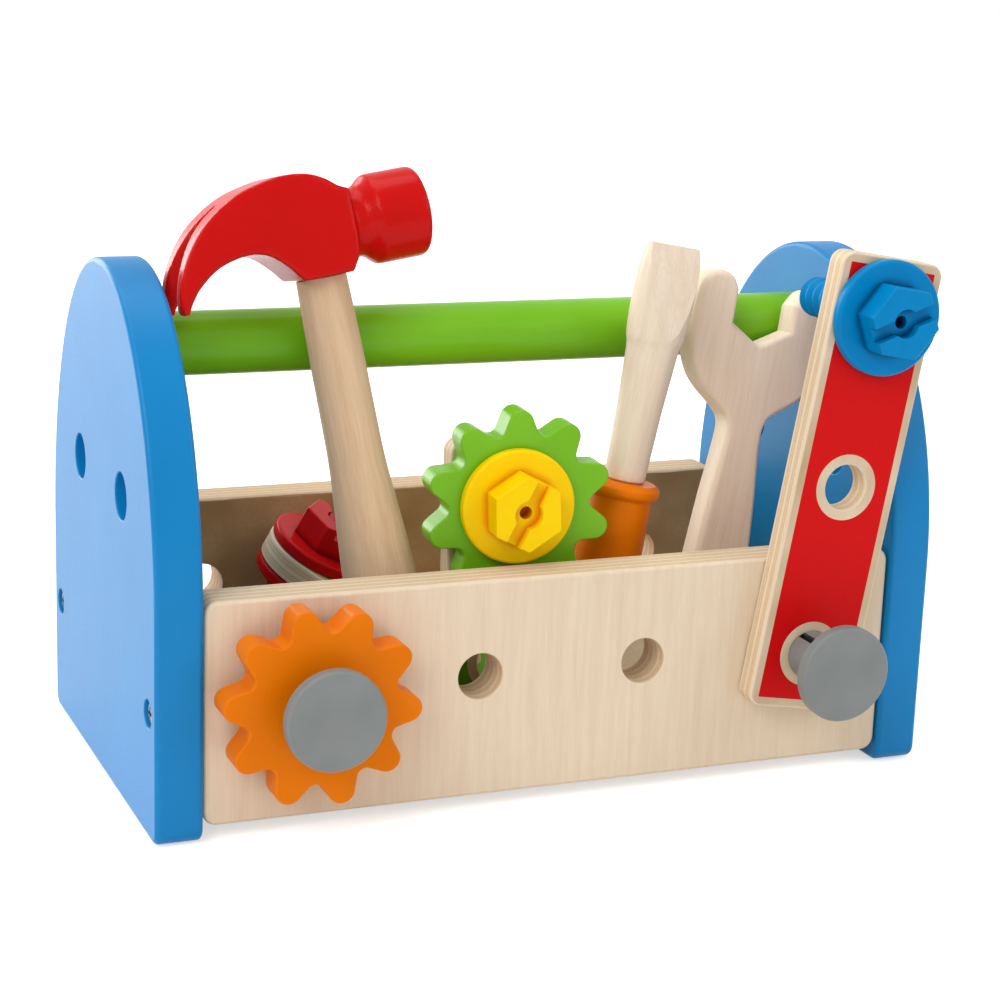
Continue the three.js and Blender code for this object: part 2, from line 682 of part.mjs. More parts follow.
for (const [end_name, end] of [['left', -1], ['right', 1]]) {
  for (const [side_name, side] of [['front', -1], ['back', 1]]) {
    const x = end * (box_length / 2 - screw_recess_depth + screw_head_length + seam);
    place(tool_box, `panel_screw_${side_name}_${end_name}`, panelScrew(), screw_steel,
      [x, side * screw_row, screw_height], [0, end * Math.PI / 2, 0]);
  }
}

// Orange gear and its peg on the front panel's left hole
place(tool_box, 'orange_gear', gear(), orange_paint,
  [-outer_hole_x, -side_panel_outer - orange_gear_gap, hole_row_height],
  [Math.PI / 2, 0, radians(orange_gear_turn_deg)]);
place(tool_box, 'left_peg', peg(), grey_plastic,
  [-outer_hole_x, -gear_front - left_peg_gap, hole_row_height], facing_front);

// Red strip leaning on the right peg, with the blue bolt in its top hole
const red_strip = new THREE.Group();
red_strip.position.set(outer_hole_x, -side_panel_outer - seam, hole_row_height);
red_strip.rotation.set(Math.PI / 2, 0, radians(-red_strip_lean_deg));
place(red_strip, 'red_strip', strip(3), red_paint);
place(red_strip, 'blue_bolt', bolt(blue_slot_deg + red_strip_lean_deg), blue_plastic,
  [0, 2 * hole_pitch, strip_thickness + seam]);
tool_box.add(red_strip);
place(tool_box, 'right_peg', peg(), grey_plastic,
  [outer_hole_x, -strip_front - peg_collar_length - seam, hole_row_height], facing_front);

// Green strip on end in the tray, with the green gear held on its top hole by the yellow bolt and nut
const gear_set = new THREE.Group();
gear_set.position.set(gear_set_x, -gear_set_front, base_top + seam + strip_end);
gear_set.rotation.order = 'ZXY';
gear_set.rotation.set(Math.PI / 2, 0, radians(gear_set_yaw_deg));
place(gear_set, 'green_strip', strip(2), green_paint, [0, 0, -strip_thickness]);
place(gear_set, 'green_gear', gear(), green_paint,
  [gear_slip_right, hole_pitch - gear_slip_down, seam], [0, 0, radians(green_gear_turn_deg)]);
place(gear_set, 'yellow_bolt', bolt(yellow_slot_deg), yellow_plastic, [0, hole_pitch, gear_thickness + 2 * seam]);
place(gear_set, 'yellow_nut', nut(), yellow_plastic, [0, hole_pitch, -strip_thickness - seam]);
tool_box.add(gear_set);

// A group is raised or lowered until its lowest point stands on the base board
function standOnBase(group) {
  group.updateMatrixWorld(true);
  const lowest = new THREE.Box3().setFromObject(group, true).min.z;
  group.position.z += base_top + seam - lowest;
  tool_box.add(group);
}

// Round-ended link, lying askew in the tray with the red bolt and nut in its upper hole
const link_set = new THREE.Group();
link_set.rotation.order = 'ZXY';
link_set.rotation.set(radians(link_pitch_deg), radians(link_roll_deg), radians(link_yaw_deg));
link_set.position.set(link_set_x, link_set_back, 0);
place(link_set, 'round_link', strip(2, link_end_round), green_paint, [0, -hole_pitch, -strip_thickness]);
place(link_set, 'red_bolt', bolt(red_slot_deg), red_plastic, [0, 0, seam]);
place(link_set, 'red_nut', nut(), red_plastic, [0, 0, -strip_thickness - seam]);
standOnBase(link_set);

// An upright tool leans: lean is to the left, tilt is to the back, both in radians
function leaningGroup(lean, tilt) {
  const up = new THREE.Vector3(-Math.tan(lean), Math.tan(tilt), 1).normalize();
  const right = new THREE.Vector3(1, 0, 0).addScaledVector(up, -up.x).normalize();
  const back = new THREE.Vector3().crossVectors(up, right);
  const group = new THREE.Group();
  group.quaternion.setFromRotationMatrix(new THREE.Matrix4().makeBasis(right, back, up));
  return group;
}

// The tilt at which a tool that stands on the base, a distance in front of the rod, leans on the rod
function tiltToRod(foot_front, half_thickness) {
  const rise = rod_height - base_top;
  const reach = rod_radius + half_thickness + lean_gap;
  return Math.atan2(foot_front, rise) - Math.asin(reach / Math.hypot(foot_front, rise));
}

// Hammer, leaning back on the rod with its foot by the front panel
const hammer_foot_front = side_panel_inner - hammer_grip_radius - hammer_foot_front_gap;
const hammer = leaningGroup(radians(hammer_lean_deg), tiltToRod(hammer_foot_front, hammer_shaft_radius));
hammer.position.set(hammer_foot_x, -hammer_foot_front, 0);
place(hammer, 'hammer_handle', hammerHandle(), beech_wood);
place(hammer, 'hammer_head', hammerHead(), red_lacquer, [0, 0, hammer_handle_length], facing_front);
standOnBase(hammer);

// Screwdriver, blade up
const screwdriver = leaningGroup(radians(driver_lean_deg), 0);
screwdriver.position.set(driver_foot_x, -driver_axis_front, 0);
place(screwdriver, 'screwdriver_handle', driverHandle(), orange_paint);
place(screwdriver, 'screwdriver_shaft', driverShaft(), beech_wood);
standOnBase(screwdriver);

// Wrench, jaw up, leaning back on the rod
const wrench_group = leaningGroup(radians(wrench_lean_deg), tiltToRod(wrench_foot_front, wrench_thickness / 2));
wrench_group.position.set(wrench_foot_x, -wrench_foot_front, 0);
place(wrench_group, 'wrench', wrench(), beech_wood, [0, 0, 0], facing_front);
standOnBase(wrench_group);

// The origin is the middle of the underside of everything
tool_box.updateMatrixWorld(true);
const extent = new THREE.Box3().setFromObject(tool_box, true);
const middle_of_all = extent.getCenter(new THREE.Vector3());
tool_box.position.set(-middle_of_all.x, -middle_of_all.y, -extent.min.z);
tool_box.updateMatrixWorld(true);

export default tool_box;
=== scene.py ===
# Toy tool box and its tools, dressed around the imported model. Shapes are drawn in millimetres, each facing
# the viewer or upright as its maker would draw it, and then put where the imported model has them.
import math

import bpy
import bmesh
from mathutils import Matrix, Vector
from mathutils.geometry import tessellate_polygon


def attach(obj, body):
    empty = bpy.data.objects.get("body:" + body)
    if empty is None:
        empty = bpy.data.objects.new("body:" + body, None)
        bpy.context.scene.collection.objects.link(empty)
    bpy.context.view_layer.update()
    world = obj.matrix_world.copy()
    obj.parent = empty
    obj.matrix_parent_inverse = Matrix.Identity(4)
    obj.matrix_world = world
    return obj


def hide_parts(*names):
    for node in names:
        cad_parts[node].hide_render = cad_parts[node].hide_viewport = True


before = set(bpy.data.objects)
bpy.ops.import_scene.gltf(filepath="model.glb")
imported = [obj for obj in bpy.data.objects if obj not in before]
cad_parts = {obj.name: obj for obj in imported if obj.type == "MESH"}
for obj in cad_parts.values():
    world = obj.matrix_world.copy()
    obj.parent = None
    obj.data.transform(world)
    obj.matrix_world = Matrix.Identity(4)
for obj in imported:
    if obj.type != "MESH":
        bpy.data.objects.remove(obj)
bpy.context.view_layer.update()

MM = 0.001
TURN = 2 * math.pi

# Box (mm)
BOX_LENGTH = 240
BOX_DEPTH = 128
BOX_HEIGHT = 152
BOX_MIDDLE_Y = 13.8
END_THICKNESS = 13.5
ARCH_START = 62
PANEL_CORNER = 4
END_EDGE = 1.5
SIDE_THICKNESS = 13.6
SIDE_BOTTOM = 4
SIDE_TOP = 68
SIDE_EDGE = 1.1
SIDE_INSET = 1.8
BASE_THICKNESS = 8
BASE_TOP = 15.2
BASE_CORNER = 1
BASE_EDGE = 0.5
GROOVE_DEPTH = 4
SEAM = 0.3
ROD_RADIUS = 9.3
ROD_HEIGHT = 127
ROD_SOCKET = 8
ROD_END_EDGE = 1.2
HOLE_RADIUS = 6.8
HOLE_EDGE = 0.45
HOLE_PITCH = 51
HOLE_ROW = 39.8
END_HOLE_HEIGHT = 89.5

# Screws through the end panels
SCREW_ROW = 55.4
SCREW_HEIGHT = 36
SCREW_HEAD_RADIUS = 3.7
SCREW_HEAD_LENGTH = 2.6
SCREW_SHANK_RADIUS = 2
SCREW_SHANK_LENGTH = 30
SCREW_RECESS = 3.6
SCREW_HEAD_FACE_X = 119.3
CROSS_REACH = 2.2
CROSS_HALF_WIDTH = 0.55
CROSS_DEPTH = 1.5

# Strips
STRIP_WIDTH = 34.2
STRIP_END = 17.1
STRIP_THICKNESS = 7.7
STRIP_CORNER = 4
STRIP_EDGE = 0.8
LINK_END_ROUND = 17
PAINT_MARGIN = 2.8
PAINT_CORNER = 0.4
PAINT_RING_RADIUS = 9.9

# Gears
GEAR_TEETH = 10
GEAR_OUTER = 28.3
GEAR_ROOT = 21.5
GEAR_BORE = 7.9
GEAR_THICKNESS = 10
TIP_ROUND = 3.8
TIP_SWEEP = 137
ROOT_ROUND = 2.5
ROOT_SWEEP = 101
GEAR_EDGE = 0.6

# Bolts and nuts
FLANGE_RADIUS = 17
FLANGE_THICKNESS = 3.5
FLANGE_EDGE = 1
FLANGE_UNDER_EDGE = 0.5
HEX_ACROSS_FLATS = 19.6
HEX_CORNER = 0.5
HEX_EDGE = 0.5
HEAD_HEIGHT = 9
HEAD_START = 1
HEAD_SOFTENING = 0.35
SLOT_WIDTH = 4.6
SLOT_DEPTH = 3.2
POCKET_RADIUS = 4.2
BORE_RADIUS = 1.9
BORE_DEPTH = 8
SHANK_LENGTH = 40
THREAD_CREST = 6.2
THREAD_ROOT = 5.3
THREAD_PITCH = 4
THREAD_TAPER = 1.0
NUT_BORE = 6.6
NUT_HEIGHT = 6.5

# Pegs
PEG_HEAD_RADIUS = 14.2
PEG_HEAD_THICKNESS = 4
PEG_HEAD_EDGE = 1.2
PEG_UNDER_EDGE = 0.5
PEG_TIP_EDGE = 1.2
PEG_COLLAR_EDGE = 0.4
PEG_COLLAR_RADIUS = 7.4
PEG_COLLAR_LENGTH = 17.1
PEG_SHANK_RADIUS = 6.5
PEG_SHANK_LENGTH = 34
PEG_SLOT_WIDTH = 2.2
PEG_SLOT_START = 5
PEG_SLOT_TURN = 118

# Hammer, and the foot of both turned handles
FOOT_ROUND = 3.2
HANDLE_LENGTH = 134
NECK_RADIUS = 7.3
HANDLE_RADIUS = 8
GRIP_RADIUS = 10.9
TENON_RADIUS = 5.6
TENON_LENGTH = 17
HEAD_TALL = 29.8
HEAD_THICK = 23
HEAD_EDGE = 1
CLAW_REACH = 44.6
CLAW_DROP = 3
CLAW_SLOT_LENGTH = 19
CLAW_SLOT_WIDTH = 12.5
CHEEK_RIGHT = 9.9
CHEEK_LEFT = 8.2
FACE_RADIUS = 13
FACE_START = 17.2
FACE_END = 32.4
FACE_NECK = 9.9
FACE_EDGE = 1.6
FACE_ROOT = 4
SANDING_GRAIN = 0.55
SANDING_PASSES = 8

# Screwdriver
DRIVER_GRIP = 69
DRIVER_RADIUS = 10.3
BEAD_RADIUS = 11.5
BEAD_HEIGHT = 4.9
SHAFT_RADIUS = 6.25
SHAFT_LENGTH = 72
FLARE_RADIUS = 9.35
TIP_HALF_WIDTH = 8.1
TIP_THICKNESS = 3
BLADE_LENGTH = 28.5
DRIVER_TENON_RADIUS = 5.2
DRIVER_TENON_LENGTH = 20
BLADE_SOFTENING = 0.45
BLANK_HALF = 14
BLANK_THICK = 40

# Wrench
WRENCH_LENGTH = 112
WRENCH_THICKNESS = 10
JAW_WIDTH = 20
JAW_SHIFT = 0.5
JAW_DEPTH = 23
WRENCH_LEFT = 24.5
WRENCH_RIGHT = 21.8
WRENCH_NECK = 6.2
WRENCH_FOOT = 12
WRENCH_EDGE = 1.8

# Finishes: the shine of dull ones, heights of their relief, plies and how far the plastics' painted shade
# reaches into slots and corners (mm)
SATIN = 0.08
COAT_ROUGHNESS = 0.12
PAINT_RISE = 0.035
PLY_RISE = 0.05
WOOD_RISE = 0.03
TURNING_RISE = 0.01
PLY = 1.55
PLY_START = 0.15
PLY_WOBBLE = 0.3
GLUE_START = 0.86
PAINTED_SHADE_REACH = 3.4

# Sides of round shapes and steps of curves
FINE_SIDES = 128
ROUND_SIDES = 96
ARCH_STEPS = 96
HOLE_SIDES = 64
SMALL_SIDES = 48
RECESS_SIDES = 40
BORE_SIDES = 32
THREAD_ROWS = 160
EDGE_STEPS = 5
PAINT_STEPS = 16
LINK_STEPS = 24
BLADE_STEPS = 24

# How far a cutting shape runs past what it cuts, how near points are welded, and a corner left sharp (mm)
OVERRUN = 2
WELD = 0.005
LAST_WELD = 0.001
SHARP_EDGE = 0.01

# The least cosine at which a corner is mitred in full, and how far out the end rows of a grid 1 wide lie
NARROWEST_MITRE = 0.3
GRID_END = 0.4999


# Placing
def drawn_at(at, right, up):
    """The place of a piece: where its own zero lies, and where its own X and Y point."""
    x, y = Vector(right).normalized(), Vector(up).normalized()
    z = x.cross(y)
    turn = Matrix((x, y, z)).transposed().to_4x4()
    return Matrix.Translation(Vector(at)) @ turn


def upright_at(at, right, up):
    """The same for a piece that is drawn along its own Z, such as a turned one."""
    x, z = Vector(right).normalized(), Vector(up).normalized()
    turn = Matrix((x, z.cross(x), z)).transposed().to_4x4()
    return Matrix.Translation(Vector(at)) @ turn


RIGHT, BACK, UP, LEFT = (1, 0, 0), (0, 1, 0), (0, 0, 1), (-1, 0, 0)
LINK_RIGHT, LINK_UP = (0.64995, 0.75857, -0.04621), (-0.65616, 0.59081, 0.46947)
LEAN_RIGHT, LEAN_UP = (0.98657, 0, -0.16333), (0.16333, 0, 0.98657)
SET_RIGHT = (0.99619, -0.08716, 0)
HAMMER_RIGHT, HAMMER_UP = (0.98638, 0.02748, 0.16218), (-0.16449, 0.16481, 0.97251)
DRIVER_RIGHT, DRIVER_UP = (0.98389, 0, -0.1788), (0.1788, 0, 0.98389)

places = {
    "end_panel_left": drawn_at((-120, BOX_MIDDLE_Y, 0), BACK, UP),
    "end_panel_right": drawn_at((106.5, BOX_MIDDLE_Y, 0), BACK, UP),
    "front_panel": drawn_at((0, -34.8, 0), RIGHT, UP),
    "back_panel": drawn_at((0, 62.4, 0), LEFT, UP),
    "base_panel": drawn_at((0, BOX_MIDDLE_Y, 7.2), RIGHT, BACK),
    "handle_rod": upright_at((0, BOX_MIDDLE_Y, ROD_HEIGHT), BACK, RIGHT),
    "orange_gear": drawn_at((-76.5, -52.6, 39.8), (0.99572, 0, -0.09237), (0.09237, 0, 0.99572)),
    "left_peg": drawn_at((-76.5, -69.8, 39.8), RIGHT, UP),
    "red_strip": drawn_at((76.5, -48.7, 39.8), LEAN_RIGHT, LEAN_UP),
    "blue_bolt": drawn_at((93.15925, -56.7, 140.43036), LEAN_RIGHT, LEAN_UP),
    "right_peg": drawn_at((76.5, -73.8, 39.8), RIGHT, UP),
    "green_strip": drawn_at((-5.9289, -9.0293, 32.6), SET_RIGHT, UP),
    "green_gear": drawn_at((-5.13185, -17.12959, 83.1), (0.94135, -0.08236, 0.32722),
                           (-0.32597, 0.02852, 0.94495)),
    "yellow_bolt": drawn_at((-7.52385, -27.25966, 83.6), SET_RIGHT, UP),
    "yellow_nut": drawn_at((-5.90275, -8.73044, 83.6), SET_RIGHT, UP),
    "round_link": drawn_at((-13.68833, 12.3849, 23.15458), LINK_RIGHT, LINK_UP),
    "red_bolt": drawn_at((-44.08497, 40.31756, 54.15153), LINK_RIGHT, LINK_UP),
    "red_nut": drawn_at((-47.26741, 42.59851, 46.83311), LINK_RIGHT, LINK_UP),
    "hammer_handle": upright_at((-37.3, -23.2, 17.33929), HAMMER_RIGHT, HAMMER_UP),
    "hammer_head": drawn_at((-59.34143, -1.11583, 147.65607), HAMMER_RIGHT, HAMMER_UP),
    "screwdriver_handle": upright_at((22.8, -10.2, 16.64219), DRIVER_RIGHT, DRIVER_UP),
    "screwdriver_shaft": upright_at((22.8, -10.2, 16.64219), DRIVER_RIGHT, DRIVER_UP),
    "wrench": drawn_at((61.3, -11.6, 15.88462), (0.98244, -0.0175, -0.18576), (0.18658, 0.09216, 0.97811)),
}


# Nodes and finishes
def add(tree, kind, inputs=None, stops=(), **settings):
    """One node with its settings. Each input is a value, a socket to link from, or a node, which stands for its
    first output in use. The stops of a colour ramp are (place, hex colour)."""
    node = tree.nodes.new(kind)
    for key, value in settings.items():
        setattr(node, key, value)
    for key, value in (inputs or {}).items():
        if isinstance(value, bpy.types.Node):
            value = next(output for output in value.outputs if output.enabled)
        if isinstance(value, bpy.types.NodeSocket):
            tree.links.new(value, node.inputs[key])
        else:
            node.inputs[key].default_value = value
    for number, (place, hex_text) in enumerate(stops):
        if number == len(node.color_ramp.elements):
            node.color_ramp.elements.new(1.0)
        node.color_ramp.elements[number].position = place
        node.color_ramp.elements[number].color = colour(hex_text)
    return node


def formula(tree, lines, **known):
    """Works out lines of (result, operation, values). A text among the values is an earlier or known result."""
    for result, operation, *values in lines:
        inputs = {number: known[v] if isinstance(v, str) else v for number, v in enumerate(values)}
        known[result] = add(tree, "ShaderNodeMath", inputs, operation=operation)
    return known


def emptied(owner):
    """The node tree of a material or of the world, with nothing in it."""
    owner.use_nodes = True
    owner.node_tree.nodes.clear()
    return owner.node_tree


def colour(hex_text):
    """An sRGB hex colour as the linear colour that a shader takes."""
    parts = [int(hex_text[i:i + 2], 16) / 255 for i in (1, 3, 5)]
    return [p / 12.92 if p <= 0.04045 else ((p + 0.055) / 1.055) ** 2.4 for p in parts] + [1]


def new_material(name):
    """A bare material, its tree, and the piece's own drawn coordinates in millimetres."""
    material = bpy.data.materials.new(name)
    tree = emptied(material)
    return material, tree, add(tree, "ShaderNodeAttribute", attribute_name="drawn").outputs["Vector"]


def stretched(tree, drawn, per_mm, detail, roughness=0.6, distortion=0.0):
    """Noise whose grains are per_mm to the millimetre along each of the piece's own axes."""
    scaled = add(tree, "ShaderNodeVectorMath", {0: drawn, 1: per_mm}, operation="MULTIPLY")
    return add(tree, "ShaderNodeTexNoise", {
        "Vector": scaled, "Scale": 1.0, "Detail": detail, "Roughness": roughness, "Distortion": distortion})


def finished(tree, base, height, height_mm, roughness, gloss=SATIN, more=None):
    """The shader and the output, with a bump of a real height in millimetres."""
    bump = add(tree, "ShaderNodeBump", {"Height": height, "Strength": 1.0, "Distance": height_mm * MM})
    shader = add(tree, "ShaderNodeBsdfPrincipled", {
        "Normal": bump, "Base Color": base, "Roughness": roughness, "Specular IOR Level": gloss,
        **(more or {})})
    add(tree, "ShaderNodeOutputMaterial", {"Surface": shader})


def painted_wood(name, body, light, roughness, coat=0.0, gloss=SATIN):
    """Brushed and sanded paint on wood: an even colour, a faint rise of the grain below, a satin face."""
    material, tree, drawn = new_material(name)
    clouds = stretched(tree, drawn, (0.03, 0.02, 0.03), detail=2)
    base = add(tree, "ShaderNodeValToRGB", {"Fac": clouds}, ((0.3, body), (0.75, light)))
    grain = stretched(tree, drawn, (0.9, 0.06, 0.9), detail=3)
    skin = stretched(tree, drawn, (1.6, 1.3, 1.6), detail=2)
    height = formula(tree, [("height", "ADD", "grain", "skin")], grain=grain, skin=skin)["height"]
    brushed = add(tree, "ShaderNodeMapRange", {
        "Value": skin, "To Min": roughness - 0.05, "To Max": roughness + 0.07})
    finished(tree, base, height, PAINT_RISE, brushed, gloss,
             {"Coat Weight": coat, "Coat Roughness": COAT_ROUGHNESS})
    return material


def moulded_plastic(name, body, light, painted_shade, roughness, texture_mm, gloss=SATIN):
    """Injection-moulded plastic: one even colour with painted shade in its slots and corners, a fine
    spark-eroded texture and slight flow clouds."""
    material, tree, drawn = new_material(name)
    clouds = stretched(tree, drawn, (0.08, 0.08, 0.08), detail=1)
    # Painted shade: ambient occlusion within the piece mixes the colour toward the painted shade colour in
    # slots, recesses and corners.
    sky = add(tree, "ShaderNodeAmbientOcclusion", {"Distance": PAINTED_SHADE_REACH * MM}, samples=8, only_local=True)
    unoccluded_share = add(tree, "ShaderNodeMapRange", {"Value": sky.outputs["AO"], "From Min": 0.36, "From Max": 0.88})
    tint = add(tree, "ShaderNodeValToRGB", {"Fac": clouds}, ((0.3, body), (0.75, light)))
    base = add(tree, "ShaderNodeMix", {0: unoccluded_share, 6: colour(painted_shade), 7: tint}, data_type="RGBA")
    texture = stretched(tree, drawn, (2.6, 2.6, 2.6), detail=2)
    flowed = add(tree, "ShaderNodeMapRange", {
        "Value": clouds, "To Min": roughness - 0.04, "To Max": roughness + 0.05})
    finished(tree, base, texture, texture_mm, flowed, gloss)
    return material


def plywood(name, tint):
    """Birch plywood: pale long grain and darker end grain by turns, with thin glue lines between the plies."""
    material, tree, drawn = new_material(name)
    layers = formula(tree, [
        ("depth", "MULTIPLY_ADD", "wobble", PLY_WOBBLE, "height"), ("plies", "DIVIDE", "depth", PLY),
        ("place", "SUBTRACT", "plies", PLY_START), ("pair", "FLOORED_MODULO", "place", 2.0),
        ("is_cross", "GREATER_THAN", "pair", 1.0), ("within", "FRACT", "place")],
        wobble=stretched(tree, drawn, (0.05, 0.05, 0.05), detail=1),
        height=add(tree, "ShaderNodeSeparateXYZ", {"Vector": drawn}).outputs["Z"])
    glue = add(tree, "ShaderNodeMapRange", {
        "Value": layers["within"], "From Min": GLUE_START, "From Max": 0.99})
    long_grain = stretched(tree, drawn, (0.34, 0.02, 0.9), detail=5, roughness=0.62, distortion=0.5)
    fibres = stretched(tree, drawn, (2.4, 0.09, 2.4), detail=3)
    end_grain = stretched(tree, drawn, (0.8, 0.8, 2.6), detail=4)
    face = add(tree, "ShaderNodeValToRGB", {"Fac": long_grain},
               ((0.28, "#e2ccb0"), (0.46, "#e6d2b7"), (0.62, "#e9d6bc"), (0.8, "#ecdac1")))
    strands = add(tree, "ShaderNodeValToRGB", {"Fac": fibres}, ((0.3, "#b99f80"), (0.6, "#ffffff")))
    face = add(tree, "ShaderNodeMix", {0: 0.06, 6: face, 7: strands}, data_type="RGBA", blend_type="MULTIPLY")
    core = add(tree, "ShaderNodeValToRGB", {"Fac": end_grain}, ((0.3, "#d3b790"), (0.65, "#e0c8a6")))
    plies = add(tree, "ShaderNodeMix", {0: layers["is_cross"], 6: face, 7: core}, data_type="RGBA")
    glued = add(tree, "ShaderNodeMix", {0: glue, 6: plies, 7: colour("#b3946a")}, data_type="RGBA")
    # The tint over all: white leaves the ply as it is, and a warm tint is painted bounce light.
    base = add(tree, "ShaderNodeMix", {0: 1.0, 6: glued, 7: colour(tint)}, data_type="RGBA",
               blend_type="MULTIPLY")
    finished(tree, base, fibres, PLY_RISE, roughness=0.55)
    return material


def solid_wood(name, tones, fibre_tone, fleck_tone):
    """Sanded close-grained wood under a thin clear lacquer: soft growth lines, fine fibres, short flecks."""
    material, tree, drawn = new_material(name)
    lines = stretched(tree, drawn, (0.26, 0.012, 0.26), detail=4, distortion=0.7)
    fibres = stretched(tree, drawn, (2.2, 0.07, 2.2), detail=3)
    fleck_field = add(tree, "ShaderNodeVectorMath", {0: drawn, 1: (1.15, 0.3, 1.15)}, operation="MULTIPLY")
    flecks = add(tree, "ShaderNodeTexVoronoi", {"Vector": fleck_field, "Scale": 1.0, "Randomness": 1.0})
    fleck = add(tree, "ShaderNodeMapRange", {
        "Value": flecks.outputs["Distance"], "From Min": 0.08, "From Max": 0.2, "To Min": 0.16, "To Max": 0.0})
    base = add(tree, "ShaderNodeValToRGB", {"Fac": lines}, zip((0.3, 0.5, 0.7), tones))
    strands = add(tree, "ShaderNodeValToRGB", {"Fac": fibres}, ((0.3, fibre_tone), (0.62, "#ffffff")))
    base = add(tree, "ShaderNodeMix", {0: 0.14, 6: base, 7: strands}, data_type="RGBA", blend_type="MULTIPLY")
    base = add(tree, "ShaderNodeMix", {0: fleck, 6: base, 7: colour(fleck_tone)}, data_type="RGBA")
    finished(tree, base, fibres, WOOD_RISE, roughness=0.5)
    return material


def zinc_steel(name):
    """Zinc-plated screw steel: a grey metal with fine turning marks."""
    material, tree, drawn = new_material(name)
    marks = stretched(tree, drawn, (3.0, 3.0, 9.0), detail=2)
    finished(tree, colour("#a3a5a2"), marks, TURNING_RISE, roughness=0.34, more={"Metallic": 1.0})
    return material


blue_paint = painted_wood("satin_blue_paint_on_wood", "#007ab8", "#0280c0", 0.36, gloss=0.22)
green_paint = painted_wood("satin_green_paint_on_wood", "#70b416", "#7cbe20", 0.3, gloss=0.2)
orange_paint = painted_wood("satin_orange_paint_on_wood", "#e47400", "#ec7c02", 0.36)
# A brighter copy of the orange paint: painted light on the screwdriver grip, which stands in the shade inside
# the tray.
handle_orange_painted_lit = painted_wood("satin_orange_paint_on_turned_wood", "#ee7a00", "#f48002", 0.34)
red_gloss = painted_wood("gloss_red_paint_on_wood", "#c20805", "#cc0a07", 0.24, coat=0.1, gloss=0.06)
red_print = painted_wood("printed_red_paint_on_ply", "#cc0c0e", "#d41012", 0.4)
green_print = painted_wood("printed_green_paint_on_ply", "#66b41c", "#6cb820", 0.4)
birch_ply = plywood("clear_lacquered_birch_plywood", "#ffffff")
# The back panel takes the same ply tinted pink: painted warm bounce light inside the tray.
bounce_tinted_ply = plywood("clear_lacquered_birch_plywood_with_painted_bounce", "#fff6f0")
beech = solid_wood("sanded_clear_beech", ("#cfae8c", "#d8b895", "#dec09f"), "#bb9a76", "#b28c66")
maple = solid_wood("sanded_clear_maple", ("#e8d3bb", "#eedcc6", "#f2e3cf"), "#cbb294", "#cbae8c")
# A paler copy of the maple for the wrench: painted light on a board that stands in the shade of the end panel
# and the other tools.
wrench_wood_painted_lit = solid_wood("sanded_clear_wood_paler_as_painted_light", ("#efdac0", "#f4e2ca", "#f7e8d2"), "#d0b89c", "#d2b594")
# The third colour of each plastic is its painted shade, for slots, recesses and corners.
grey_plastic = moulded_plastic("moulded_grey_abs", "#7b7f7d", "#838785", "#3c3e3d", 0.42, 0.02, gloss=0.25)
blue_plastic = moulded_plastic("moulded_blue_abs", "#0080bc", "#0086c4", "#01365c", 0.32, 0.012)
yellow_plastic = moulded_plastic("moulded_yellow_abs", "#f8ce03", "#fcd404", "#e07806", 0.32, 0.012)
red_plastic = moulded_plastic("moulded_red_abs", "#bc1012", "#c41416", "#6a0408", 0.3, 0.012)
screw_steel = zinc_steel("zinc_plated_screw_steel")


# Shapes, drawn in millimetres
def shape(vertices, faces, painted=()):
    """A mesh object from lists; the faces numbered in painted take the second finish."""
    mesh = bpy.data.meshes.new("shape")
    mesh.from_pydata([tuple(v) for v in vertices], [], faces)
    for index in painted:
        mesh.polygons[index].material_index = 1
    thing = bpy.data.objects.new("shape", mesh)
    bpy.context.scene.collection.objects.link(thing)
    return thing


def bake(thing):
    """Turns what the modifiers make into the object's own plain mesh."""
    evaluated = thing.evaluated_get(bpy.context.evaluated_depsgraph_get())
    mesh = bpy.data.meshes.new_from_object(evaluated)
    old = thing.data
    thing.modifiers.clear()
    thing.data = mesh
    bpy.data.meshes.remove(old)
    return thing


def combine(thing, tools, operation="DIFFERENCE"):
    """Cuts the tools from a shape, joins them to it, or keeps what they share. The tools are used up."""
    for tool in tools:
        modifier = thing.modifiers.new("cut", "BOOLEAN")
        modifier.operation = operation
        modifier.solver = "EXACT"
        modifier.object = tool
    bake(thing)
    for tool in tools:
        mesh = tool.data
        bpy.data.objects.remove(tool)
        bpy.data.meshes.remove(mesh)
    return thing


def soften(thing, width, angle):
    """Rounds the edges that turn by more than the angle, in degrees."""
    modifier = thing.modifiers.new("edges", "BEVEL")
    modifier.width = width
    modifier.segments = 3
    modifier.limit_method = "ANGLE"
    modifier.angle_limit = math.radians(angle)
    modifier.use_clamp_overlap = True
    return bake(thing)


def moved(thing, matrix):
    """Moves or turns a shape within its own coordinates."""
    thing.data.transform(matrix)
    return thing


def spline(points, steps=8):
    """A smooth line through the points (Catmull-Rom)."""
    line = []
    last = len(points) - 1
    for i in range(last):
        p0, p1, p2, p3 = (Vector(points[min(max(k, 0), last)]) for k in (i - 1, i, i + 1, i + 2))
        v0, v1 = (p2 - p0) / 2, (p3 - p1) / 2
        for step in range(steps):
            t = step / steps
            cubic, square = 2 * p1 - 2 * p2 + v0 + v1, -3 * p1 + 3 * p2 - 2 * v0 - v1
            line.append(cubic * t ** 3 + square * t ** 2 + v0 * t + p1)
    line.append(Vector(points[last]))
    return line


def arc(x, y, radius, start, end, steps=6):
    """Points of an arc, in degrees, both ends included."""
    angles = [math.radians(start + (end - start) * s / steps) for s in range(steps + 1)]
    return [Vector((x + radius * math.cos(a), y + radius * math.sin(a))) for a in angles]


def circle(x, y, radius, sides=HOLE_SIDES):
    """A closed loop round a hole's middle."""
    return arc(x, y, radius, 0, 360, sides)[:-1]


